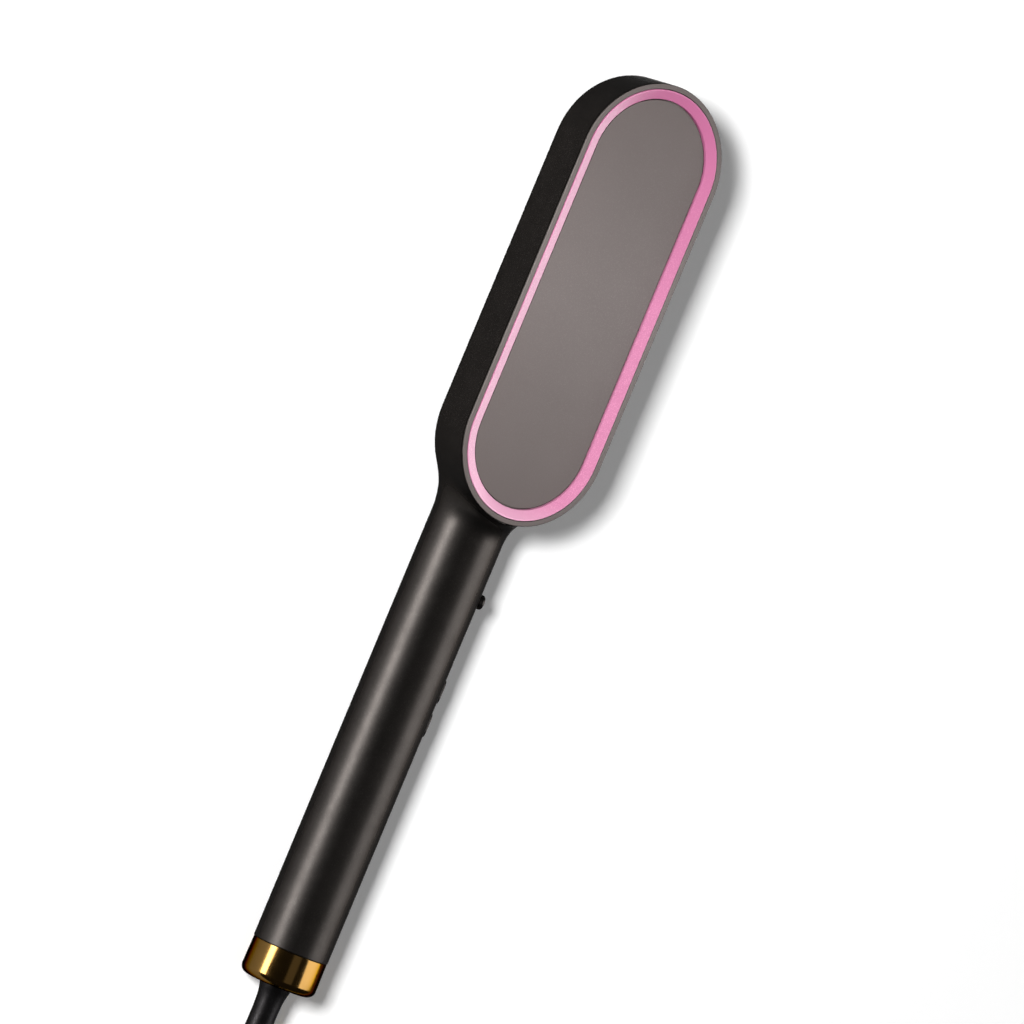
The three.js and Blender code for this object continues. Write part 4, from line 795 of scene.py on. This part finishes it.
def make_housing():
    piece = link("housing", head_form())
    add(piece, neck_form())
    inner, (low_share, floor_share) = COMB_EDGE_RADIUS - WALL, CORNER_SHARES
    cavity = [(WALL, CEILING_Z), (WALL, COMB_SIDE_Z + COMB_EDGE_RADIUS),
              (WALL + inner * low_share, FLOOR_Z + CORNER_RISE), (WALL + inner * floor_share, FLOOR_Z)]
    cut(piece, head_loft(cavity, steps=24))
    cut(piece, bore_form())
    cut(piece, head_loft([(LID_LIP, FACE_HEIGHT), (LID_LIP, SEAT_Z)], steps=96))
    cut(piece, loft([raised(comb_outline(0), z) for z in (-PAST, FLOOR_Z + PAST)]))
    reach = HANDLE_RADIUS + PAST
    cut(piece, box(COVER_START, COVER_STOP, -reach, reach, -PAST, SEAM_Z))
    inside = [upright(x, y, BOSS_RADIUS, FLOOR_Z + GAP, CEILING_Z + BITE) for x, y in SCREW_PLACES]
    for step in (-1, 0, 1):
        x = COMB_X + step * RIB_PITCH
        inside.append(box(x - RIB_HALF, x + RIB_HALF, -RIB_REACH, RIB_REACH, RIB_FOOT, CEILING_Z + BITE))
    add(piece, joined(inside))
    low, high = BOARD_MIDDLE - BOARD_SLOT, BOARD_MIDDLE + BOARD_SLOT
    y0, y1 = BOARD_HALF_WIDTH - HOLD_REACH, BORE_RADIUS + BITE
    for x in (*BOARD_HOLDS, (BOARD_START + BOARD_STOP) / 2):
        ribs = joined([box(x - HOLD_HALF, x + HOLD_HALF, y0, y1, z0, z1)
                       for z0, z1 in ((low - WALL, low), (high, high + WALL))])
        add(piece, to_controls(ribs))
    holes = [upright(x, y, SCREW_RADIUS + SCREW_FIT, FLOOR_Z, FLOOR_Z + SCREW_HOLE)
             for x, y in SCREW_PLACES]
    cut(piece, joined(holes))
    cut(piece, control_openings())
    shade_by_form(piece.data)
    finish(piece, "soft_black", "main_housing", sharp=None)


def make_cover():
    piece = link("cover", neck_form())
    reach = HANDLE_RADIUS + PAST
    x0, x1 = COVER_START + END_SEAM, COVER_STOP - END_SEAM
    combine(piece, box(x0, x1, -reach, reach, -PAST, SEAM_Z - SEAM_GAP), "INTERSECT")
    cut(piece, bore_form())
    lip = sqrt(BORE_RADIUS ** 2 - (AXIS_Z - SEAM_Z) ** 2) - GAP
    inside = [box(x0 + LIP_INSET, x1 - LIP_INSET,
                  *sorted((side * lip, side * (lip - LIP_THICKNESS))),
                  SEAM_Z - LIP_REACH, SEAM_Z + LIP_REACH) for side in (1, -1)]
    foot, top = AXIS_Z - BORE_RADIUS - BITE, AXIS_Z - BOARD_HALF_WIDTH - GAP
    inside += [box(x - HOLD_HALF, x + HOLD_HALF, *POST_SIDES, foot, top) for x in BOARD_HOLDS]
    add(piece, joined(inside))
    shade_by_form(piece.data)
    finish(piece, "soft_black", "handle_cover", sharp=None)


def arc(inset, z, radius, first, last, steps):
    """Insets and heights round an edge, with angles in degrees from straight outwards to up."""
    turns = [radians(first + (last - first) * i / steps) for i in range(steps + 1)]
    return [(inset - radius * cos(t), z + radius * sin(t)) for t in turns]


def make_lid():
    inner = RIM_WIDTH + RING_FIT + RING_WIDTH + RING_REVEAL
    skirt, groove, edge, foot = LID_LIP + GAP, RING_BOTTOM - GAP, RING_EDGE, FACE_HEIGHT - LID_EDGE
    section = [
        *arc(inner + edge, LID_TOP - edge, edge, 90, 0, 4), (inner, groove), (RIM_WIDTH, groove),
        (RIM_WIDTH, FACE_HEIGHT - edge), *arc(RIM_WIDTH - edge, FACE_HEIGHT - edge, -edge, 0, -90, 4),
        *arc(RIM_EDGE, FACE_HEIGHT - RIM_EDGE, RIM_EDGE, 90, 0, 8),
        (0, foot + FOOT_EDGE), (FOOT_EDGE, foot), (skirt, foot), (skirt, LID_BOTTOM),
    ]
    piece = link("lid", head_loft(section, steps=128, straight_steps=10))
    finish(piece, "grey_panel", "back_panel", sharp=SHARP_RIM)
    # The lid's upright side is painted like the housing that it closes
    piece.data.materials.append(MATERIALS["soft_black"])
    for face in piece.data.polygons:
        x, y, z = face.center / MM
        beside = outwards(x + MIDDLE_X, y) > 1 - PAINT_SIDE * RIM_EDGE / END_REACH
        face.material_index = int(beside and z < FACE_HEIGHT - PAINT_TOP * RIM_EDGE)


def make_ring():
    outer, edge = RIM_WIDTH + RING_FIT, RING_EDGE
    inner, high = outer + RING_WIDTH, FACE_HEIGHT - RING_SINK
    low, wide = high - RING_SLOPE, RING_WIDTH - 2 * edge
    section = [
        (outer, RING_BOTTOM), *arc(outer + edge, high - edge, edge, 0, 70, 4),
        *[(outer + edge + wide * t, high - RING_SLOPE * t) for t in np.linspace(0, 1, 7)],
        (inner - RING_LEAN, low - edge / 2), (inner, low - edge), (inner, RING_BOTTOM),
    ]
    piece = link("ring", head_loft(section, steps=128, closed=True))
    finish(piece, "pink_trim", "trim_ring", sharp=SHARP_RIM)


# The comb side


def many(points, faces, places):
    """The same closed form at many places, as one mesh."""
    points, places = np.asarray(points, float), np.asarray(places, float)
    count = len(points)
    everything = (points[None] + places[:, None]).reshape(-1, 3)
    every_face = [tuple(i + k * count for i in f) for k in range(len(places)) for f in faces]
    return mesh_of(everything, every_face)


def column(rings, tip):
    """Points and faces of a slim form through rings, closed by a tip point below and a flat top."""
    rings = np.asarray(rings, float)
    rows, count = rings.shape[:2]
    top = rows * count
    faces = bands(rows, count) + [(top, (i + 1) % count, i) for i in range(count)]
    faces.append(tuple(range((rows - 1) * count, rows * count)))
    return np.vstack([rings.reshape(-1, 3), [tip]]), faces


def row_grid(columns, rows):
    return [(COMB_X + (i - (columns - 1) / 2) * TOOTH_PITCH, (k - (rows - 1) / 2) * ROW_PITCH, 0)
            for k in range(rows) for i in range(columns)]


GUARD_EDGE, SLOT_HALF, RECESS_DEPTH = 0.35, 1.1, 1.7
GUARD_TIP, GUARD_ROOT, GUARD_FOOT_HEIGHT = 0.56, 1.05, 0.7
# The foot of a guard tooth: how far out, and how far below the plate's face
GUARD_FOOT = ((0.06, 0.45), (0.22, 0.15), (0.5, 0), (BITE, -BITE))


def make_guard():
    edge, tip, root = GUARD_EDGE, GUARD_TIP, GUARD_ROOT
    levels = [*arc(GAP + edge, COMB_SIDE_Z + edge, edge, -90, 0, 5), (GAP, FLOOR_Z)]
    piece = link("guard", loft([raised(comb_outline(i, 64), z) for i, z in levels]))
    x0, x1 = COMB_X - TEETH_LENGTH / 2, COMB_X + TEETH_LENGTH / 2
    z0, z1 = COMB_SIDE_Z - PAST, FLOOR_Z + PAST
    for k in range(HOT_ROWS):
        y = (k - (HOT_ROWS - 1) / 2) * ROW_PITCH
        cut(piece, box(x0, x1, y - SLOT_HALF, y + SLOT_HALF, z0, z1))
    for x, y in SCREW_PLACES:
        cut(piece, upright(x, y, SCREW_HEAD + GAP, z0, COMB_SIDE_Z + RECESS_DEPTH))
        cut(piece, upright(x, y, SCREW_RADIUS + GAP, z0, z1))
    rise = COMB_SIDE_Z - GUARD_FOOT_HEIGHT - tip
    profile = [(tip * sin(t), tip * (1 - cos(t))) for t in np.radians((25, 45, 62, 78))]
    profile += [(tip + (root - tip) * s, tip + rise * s) for s in np.linspace(0.02, 0.94, 5)]
    profile += [(root + out, COMB_SIDE_Z - below) for out, below in GUARD_FOOT]
    rings = level_rings(profile, 20)
    teeth = many(*column(rings, (0, 0, 0)), row_grid(TEETH_PER_ROW + 1, HOT_ROWS + 1))
    add(piece, teeth)
    finish(piece, "comb_plastic", "guard_comb")


def corners(steps):
    """The two sides and the angle of every point round four rounded corners."""
    for a, b, first in ((1, 1, 0), (-1, 1, 90), (-1, -1, 180), (1, -1, 270)):
        for i in range(steps + 1):
            yield a, b, radians(first + 90 * i / steps)


def rounded_box(x0, x1, y0, y1, z0, z1, edge, steps=4, share=0.98):
    """A box with its edges round the sides and top rounded, as rings."""
    cx, cy = (x0 + x1) / 2, (y0 + y1) / 2

    def ring(inset, z):
        return [(cx + sx * ((x1 - x0) / 2 - edge) + (edge - inset) * cos(angle),
                 cy + sy * ((y1 - y0) / 2 - edge) + (edge - inset) * sin(angle), z)
                for sx, sy, angle in corners(steps)]

    turns = quarter(steps)
    low = [ring(edge * share * (1 - sin(t)), z0 + edge * (1 - cos(t))) for t in turns]
    high = [ring(edge * share * (1 - cos(t)), z1 - edge * (1 - sin(t))) for t in turns]
    return low + high


HOT_HALF_WIDTH, HOT_THICKNESS, HOT_EDGE = 15, 2, 0.4
HEATER_THICKNESS, RAIL_SIDES, RAIL_INSET, RAIL_FOOT = 2.5, (7.3, 9.3), 2, 1
BLADE_HALVES, BLADE_TIP, BLADE_SOFT = (1.7, 0.7), 1.6, 0.45
# Heights on a blade and the share of its full size there
BLADE_STOPS = ((1.62, 0.22), (1.68, 0.38), (1.85, 0.47), (2.2, 0.52), (5, 0.66), (8, 0.85),
               (HOT_PLATE_Z - 0.5, 1), (HOT_PLATE_Z, 1.18), (HOT_PLATE_Z + BITE, 1.18))


def make_hot_comb():
    x0, x1 = COMB_X - HOT_PLATE_LENGTH / 2, COMB_X + HOT_PLATE_LENGTH / 2
    top = HOT_PLATE_Z + HOT_THICKNESS
    plate = rounded_box(x0, x1, -HOT_HALF_WIDTH, HOT_HALF_WIDTH, HOT_PLATE_Z, top, HOT_EDGE)
    piece = link("hot_comb", loft(plate))
    rails = [box(x0 + RAIL_INSET, x1 - RAIL_INSET, *sorted(side * y for y in RAIL_SIDES),
                 HOT_PLATE_Z + RAIL_FOOT, top + GAP + HEATER_THICKNESS) for side in (1, -1)]
    add(piece, joined(rails))
    angles = np.arange(24) * 2 * pi / 24
    half_length, half_width = BLADE_HALVES
    unit = np.column_stack([np.sign(v) * np.abs(v) ** BLADE_SOFT for v in (np.cos(angles), np.sin(angles))])
    rings = [[(half_length * s * u, half_width * s * v, z) for u, v in unit] for z, s in BLADE_STOPS]
    blades = many(*column(rings, (0, 0, BLADE_TIP)), row_grid(TEETH_PER_ROW, HOT_ROWS))
    add(piece, blades)
    finish(piece, "coated_metal", "heating_comb")


# The controls


def crowned(x, length, width, foot, crown_radius, edge, steps=6, least=0.05):
    """A pill whose top follows a round of the given radius, with a soft edge."""
    def outline(inset):
        return stadium(x, width / 2 - inset, width / 2 - inset, (length - width) / 2, 24, 6)

    def ring(inset, drop):
        line = outline(inset)
        return np.column_stack([line, np.sqrt(crown_radius ** 2 - line[:, 1] ** 2) - drop])

    rows = [raised(outline(0), foot)]
    rows += [ring(edge * (1 - cos(t)), edge * (1 - sin(t))) for t in quarter(steps)]
    rows += [ring(edge + (width / 2 - edge - least) * s, 0) for s in (0.25, 0.5, 0.75, 1)]
    return loft(rows)


STEM_BOTTOM, STEM_RADIUS, STEM_TOP = 4.75, 1.2, 0.7
WALL_UNDERSIDE = BORE_RADIUS * 0.9
FLANGE_THICKNESS, FLANGE_REACH, WINDOW_REACH = 0.8, 0.9, 1.0
KEY_DROP, KEY_EDGE, WINDOW_EDGE = 0.3, 0.45, 0.2
# The power button: its height over the wall, its shoulder, the round there and the crown's drops
POWER_RISE, POWER_SHOULDER, POWER_ROUND = 1.9, 0.95, (0.8, 0.75)
POWER_CROWN = ((0.1, 0.5), (0.04, 0.25), (0, 0))


def make_power_button():
    top, flange, r = HANDLE_RADIUS + POWER_RISE, WALL_UNDERSIDE - GAP, POWER_RADIUS
    foot, shoulder, (up, across) = flange - FLANGE_THICKNESS, top - POWER_SHOULDER, POWER_ROUND
    profile = [(STEM_BOTTOM, 0), (STEM_BOTTOM, STEM_RADIUS), (foot, STEM_RADIUS), (foot, r + FLANGE_REACH),
               (flange, r + FLANGE_REACH), (flange, r), (shoulder, r)]
    profile += edge_round(shoulder, r, up, across, quarter(8, 1))
    profile += [(top - drop, r * share) for drop, share in POWER_CROWN]
    mesh = turned(profile, z=0.0, steps=64)
    mesh.transform(Matrix.Translation(-Vector(place((0, 0, 0)))))
    mesh.transform(Matrix.Rotation(radians(-90), 4, "Y"))
    mesh.transform(Matrix.Translation(Vector(place((POWER_X, 0, 0)))))
    piece = link("power_key", to_controls(mesh))
    finish(piece, "soft_black", "power_button", body="power_button", look="button_black")


def flanged(name, x, length, width, rise, edge, flange, reach):
    """A crowned pill in the handle's wall, on a flange under the wall."""
    foot = flange - FLANGE_THICKNESS
    piece = link(name, crowned(x, length, width, foot, HANDLE_RADIUS + rise, edge))
    add(piece, pill(x, length + 2 * reach, width + 2 * reach, foot, flange))
    return piece


def make_key(name, x, node):
    flange = WALL_UNDERSIDE - GAP - KEY_DROP
    piece = flanged(name, x, KEY_LENGTH, KEY_WIDTH, KEY_RISE, KEY_EDGE, flange, FLANGE_REACH)
    add(piece, upright(x, 0, STEM_RADIUS, STEM_BOTTOM, flange - STEM_TOP))
    to_controls(piece.data)
    finish(piece, "soft_black", node, body=node, look="button_black")


def make_window():
    flange = sqrt(BORE_RADIUS ** 2 - (WINDOW_WIDTH / 2 + WINDOW_REACH) ** 2) - GAP
    piece = flanged("window", DISPLAY_X, WINDOW_LENGTH, WINDOW_WIDTH, 0, WINDOW_EDGE, flange, WINDOW_REACH)
    to_controls(piece.data)
    finish(piece, "smoked_window", "display_window")


# The cord's end of the handle


CAP_TOP_RADIUS, CAP_BASE_RADIUS, CAP_CORNER = 12.05, 12.2, 2.6
CAP_INNER_RADIUS, CAP_EDGE, CAP_SEAM = 10.5, 0.12, 0.1
CAP_HOLE_EDGE, CAP_FLOOR = 0.15, 1.4
JOURNAL_RADIUS, JOURNAL_OUT = 5.0, 0.1
COLLAR_X, COLLAR_LENGTH, COLLAR_RADIUS, SLEEVE_END, SLEEVE_RADIUS = 8, 2.2, 7.8, 27, 4.6
RELIEF_BASE, RELIEF_RADIUS, RELIEF_TIP = 5.1, 4.1, 3.5
GROOVES, GROOVE_DEPTH, RELIEF_PLAIN, RELIEF_END = 6, 0.7, 15.0, 3.0
RELIEF_NECK = [
    (-GAP, RELIEF_BASE - 0.05), (-1.2, RELIEF_BASE - 0.2), (-2.6, RELIEF_BASE - 0.55),
    (-4.6, RELIEF_RADIUS + 0.16), (-8, RELIEF_RADIUS), (-RELIEF_PLAIN + 0.4, RELIEF_RADIUS)]
# A groove's share of the pitch, how much its floor is widened, and the tip's round along and across
GROOVE_SHARE, GROOVE_FLOOR, TIP_ROUND = 0.75, 1.35, (0.6, 0.5)


def make_cap(steps=16):
    hole, inner = JOURNAL_RADIUS + SLIDE_GAP, CAP_INNER_RADIUS
    outside = [(CAP_CORNER * (1 - cos(t)), CAP_BASE_RADIUS - CAP_CORNER * (1 - sin(t)))
               for t in quarter(steps)]
    top = HANDLE_START - CAP_SEAM
    rim = edge_round(top - CAP_EDGE, CAP_TOP_RADIUS, CAP_EDGE, CAP_EDGE, np.linspace(0, pi / 2, 5))
    profile = [(CAP_HOLE_EDGE, hole), (0, hole + CAP_HOLE_EDGE), *outside, *rim, (top, inner),
               (CAP_FLOOR, inner), (CAP_FLOOR, hole)]
    piece = link("cap", turned(profile, steps=160))
    finish(piece, "gold", "end_cap", sharp=SHARP_ROUND)


def make_relief(stride=0.2):
    collar = COLLAR_X + SLIDE_GAP
    back = collar + COLLAR_LENGTH
    inside = [(SLEEVE_END, 0), (SLEEVE_END, SLEEVE_RADIUS), (back, SLEEVE_RADIUS), (back, COLLAR_RADIUS),
              (collar, COLLAR_RADIUS), (collar, JOURNAL_RADIUS), (GAP, JOURNAL_RADIUS),
              (-GAP + JOURNAL_OUT, JOURNAL_RADIUS)]
    outside = [(x, r) for x, r, _ in catmull([(x, r, 0) for x, r in RELIEF_NECK], step=0.35)]
    pitch = (RELIEF_LENGTH - RELIEF_PLAIN - RELIEF_END) / GROOVES
    for x in np.arange(RELIEF_PLAIN, RELIEF_LENGTH - RELIEF_END, stride):
        share = (x - RELIEF_PLAIN) / pitch
        radius = RELIEF_RADIUS + (RELIEF_TIP - RELIEF_RADIUS) * share / GROOVES
        depth = 0.5 - 0.5 * cos(2 * pi * min(share % 1 / GROOVE_SHARE, 1.0))
        outside.append((-x, radius - GROOVE_DEPTH * min(depth * GROOVE_FLOOR, 1.0)))
    along, across = TIP_ROUND
    tip = edge_round(-RELIEF_LENGTH + along, RELIEF_TIP, -along, across, np.linspace(0, pi / 2, 6))
    outside += [(-RELIEF_LENGTH + RELIEF_END, RELIEF_TIP), *tip, (-RELIEF_LENGTH, 0)]
    piece = link("relief", turned(inside + outside))
    finish(piece, "cord_rubber", "strain_relief", body="swivel", sharp=SHARP_ROUND)


# The plug and the tie


PLUG_Y, PLUG_START, PLUG_LENGTH, PLUG_WIDTH, PLUG_HEIGHT = -24.4, -70.0, 36.0, 26.0, 14.0
PIN_RADIUS, PIN_LENGTH, PIN_DEPTH, PIN_SPREAD = 2.0, 18.0, 8.0, 19.0
PIN_ROUND, PIN_TIP = 1.4, (0.35, 0.65)
# The plug's sections: a place along it, half its width and half its height
PLUG_STATIONS = [(-0.28, 3.3, 3.3), (0.05, 3.6, 3.6), (5, 4, 3.9), (9, 4.6, 4.3), (13, 8, 5.4),
                 (17, 11.4, 6.4), (21, 12.85, 6.95), (25, PLUG_WIDTH / 2, PLUG_HEIGHT / 2)]
PLUG_STATIONS += [(PLUG_LENGTH - back, PLUG_WIDTH / 2 - inset, PLUG_HEIGHT / 2 - inset)
                  for back, inset in ((1.5, 0), (0.9, 0.2), (0.3, 0.7), (0, 1.3))]
PLUG_SOFT, SOFT_START, SOFT_LENGTH = 0.4, 8, 5
TIE_SLACK, TIE_CORNER, TIE_EDGE, TIE_BEVEL = 2.5, 2, 0.25, 0.07


def make_plug():
    x, z = PLUG_START + PLUG_LENGTH, PLUG_HEIGHT / 2
    line = catmull(PLUG_STATIONS[1:8], step=0.8)
    rings = []
    for dx, a, b in [PLUG_STATIONS[0], *line, *PLUG_STATIONS[8:]]:
        soft = 1 - PLUG_SOFT * min(max((dx - SOFT_START) / SOFT_LENGTH, 0), 1)
        ring = []
        for angle in np.arange(72) * 2 * pi / 72:
            c, s = cos(angle), sin(angle)
            ring.append((PLUG_START + dx, PLUG_Y + a * copysign(abs(c) ** soft, c),
                         z + b * copysign(abs(s) ** soft, s)))
        rings.append(ring)
    piece = link("plug", loft(rings))
    foot, radius = x - PIN_DEPTH - GAP, PIN_RADIUS + GAP
    for side in (1, -1):
        hole = [(foot, 0), (foot, radius), (x + PAST, radius), (x + PAST, 0)]
        cut(piece, turned(hole, PLUG_Y + side * PIN_SPREAD / 2, z, 48))
    return finish(piece, "cord_rubber", "plug_body")


def make_pin(name, side, node):
    x, z = PLUG_START + PLUG_LENGTH, PLUG_HEIGHT / 2
    end, (least, swing) = x + PIN_LENGTH, PIN_TIP
    profile = [(x - PIN_DEPTH, 0), (x - PIN_DEPTH, PIN_RADIUS)]
    profile += [(end - PIN_ROUND + PIN_ROUND * sin(t), PIN_RADIUS * (least + swing * cos(t)))
                for t in np.linspace(0, pi / 2, 8)]
    profile.append((end, 0))
    piece = link(name, turned(profile, PLUG_Y + side * PIN_SPREAD / 2, z, 48))
    return finish(piece, "brass", node)


def make_tie(steps=12):
    half = HANK_FOLD + HANK_STEP - HANK_WAIST + CORD_RADIUS + TIE_SLACK * GAP
    top = TIE_THICKNESS + GAP + (HANK_LAYERS - 1) * HANK_LAYER + 2 * CORD_RADIUS + GAP

    def ring(grow, dx):
        points, corner = [], TIE_CORNER + grow
        for sy, sz, angle in corners(steps):
            y = sy * (half + grow - corner) + corner * cos(angle)
            middle = (top + grow - corner) if sz > 0 else (TIE_THICKNESS - grow + corner)
            points.append((HANK_X + dx, y, middle + corner * sin(angle)))
        return points

    wide, thick, edge, bevel = TIE_WIDTH / 2, TIE_THICKNESS, TIE_EDGE, TIE_BEVEL
    section = [(0, -wide), (thick - edge, -wide), (thick - bevel, -wide + bevel), (thick, -wide + edge),
               (thick, wide - edge), (thick - bevel, wide - bevel), (thick - edge, wide), (0, wide)]
    piece = link("tie", loft([ring(g, dx) for g, dx in section], closed=True))
    return finish(piece, "cord_rubber", "hank_tie")


# Light and floor


WHITE, PAPER_WHITE = (1, 1, 1, 1), (0.98, 0.98, 0.98, 1)
PAPER_GLOW, PAPER_ROUGHNESS, PAPER_SPECULAR = 0.07, 0.9, 0.1
FLOOR_REACH, FLOOR_DROP, WORLD_LIGHT = 4.0, 0.00002, 0.05
# Lamps: name, degrees over the horizon, metres away, size along X and across, watts, place along X
# in metres, and whether they light surfaces and show in gloss
LAMPS = (
    ("key_light", 48.8, 2.02, (0.35, 0.32), 50, 0.16, True, False),
    ("right_fill", 150, 1.3, (0.95, 1.08), 4, 0, True, False),
    ("left_strip", 12.5, 1.5, (1.4, 0.5), 67, 0.3, False, True),
    ("right_box", 149, 1.3, (1.1, 1.25), 32, 0.24, False, True),
    ("overhead_box", 90, 2.0, (1.0, 0.85), 1, 0, True, True),
)


def make_lights():
    """Rectangular lamps across the brush: their long sides run along X, and they aim at the brush."""
    for name, elevation, distance, size, power, x, lights, shows in LAMPS:
        data = bpy.data.lights.new(name, "AREA")
        data.shape = "RECTANGLE"
        data.size, data.size_y = size
        data.energy = power
        lamp = link(name, data)
        turn = radians(elevation)
        lamp.location = (x, distance * cos(turn), distance * sin(turn))
        lamp.rotation_euler = (-lamp.location).to_track_quat("-Z", "Y").to_euler()
        lamp.visible_diffuse, lamp.visible_glossy = lights, shows


def make_stage():
    mesh = bpy.data.meshes.new("floor")
    corners = [(x * FLOOR_REACH, y * FLOOR_REACH, 0) for x, y in ((-1, -1), (1, -1), (1, 1), (-1, 1))]
    mesh.from_pydata(corners, [], [(0, 1, 2, 3)])
    floor = link("floor", mesh)
    floor.location.z = -FLOOR_DROP
    material, tree, shader, _ = new_material("floor_paper")
    set_inputs(shader, Base_Color=PAPER_WHITE, Roughness=PAPER_ROUGHNESS, Specular_IOR_Level=PAPER_SPECULAR,
               Emission_Color=WHITE)
    # The paper keeps white in the picture and in gloss, and the shadow stays on it
    rays = add_node(tree, "LightPath").outputs
    seen = None
    for kind in ("Is Camera Ray", "Is Glossy Ray", "Is Transmission Ray"):
        node = counted(tree, "ADD", rays[kind])
        if seen:
            tree.links.new(seen, node.inputs[1])
        seen = node.outputs[0]
    tree.links.new(ranged(tree, seen, 0, PAPER_GLOW, 0, 1), shader.inputs["Emission Strength"])
    mesh.materials.append(material)
    world = bpy.data.worlds.new("world")
    bpy.context.scene.world = world
    world.use_nodes = True
    set_inputs(world.node_tree.nodes["Background"], Color=WHITE, Strength=WORLD_LIGHT)


dress_solids()
cord, cord_length = make_cord()
finish(cord, "cord_rubber", "cord", "cord_hank", "cord_tail", sharp=None)
make_housing()
make_cover()
make_lid()
make_ring()
make_guard()
make_hot_comb()
make_power_button()
make_key("plus_key", PLUS_X, "plus_button")
make_key("minus_key", MINUS_X, "minus_button")
make_window()
make_cap()
make_relief()
tie = make_tie()
plug = make_plug()
pins = [make_pin("pin_1", 1, "plug_pin_1"), make_pin("pin_2", -1, "plug_pin_2")]
make_lights()
make_stage()
bpy.context.scene.view_settings.view_transform = "Standard"
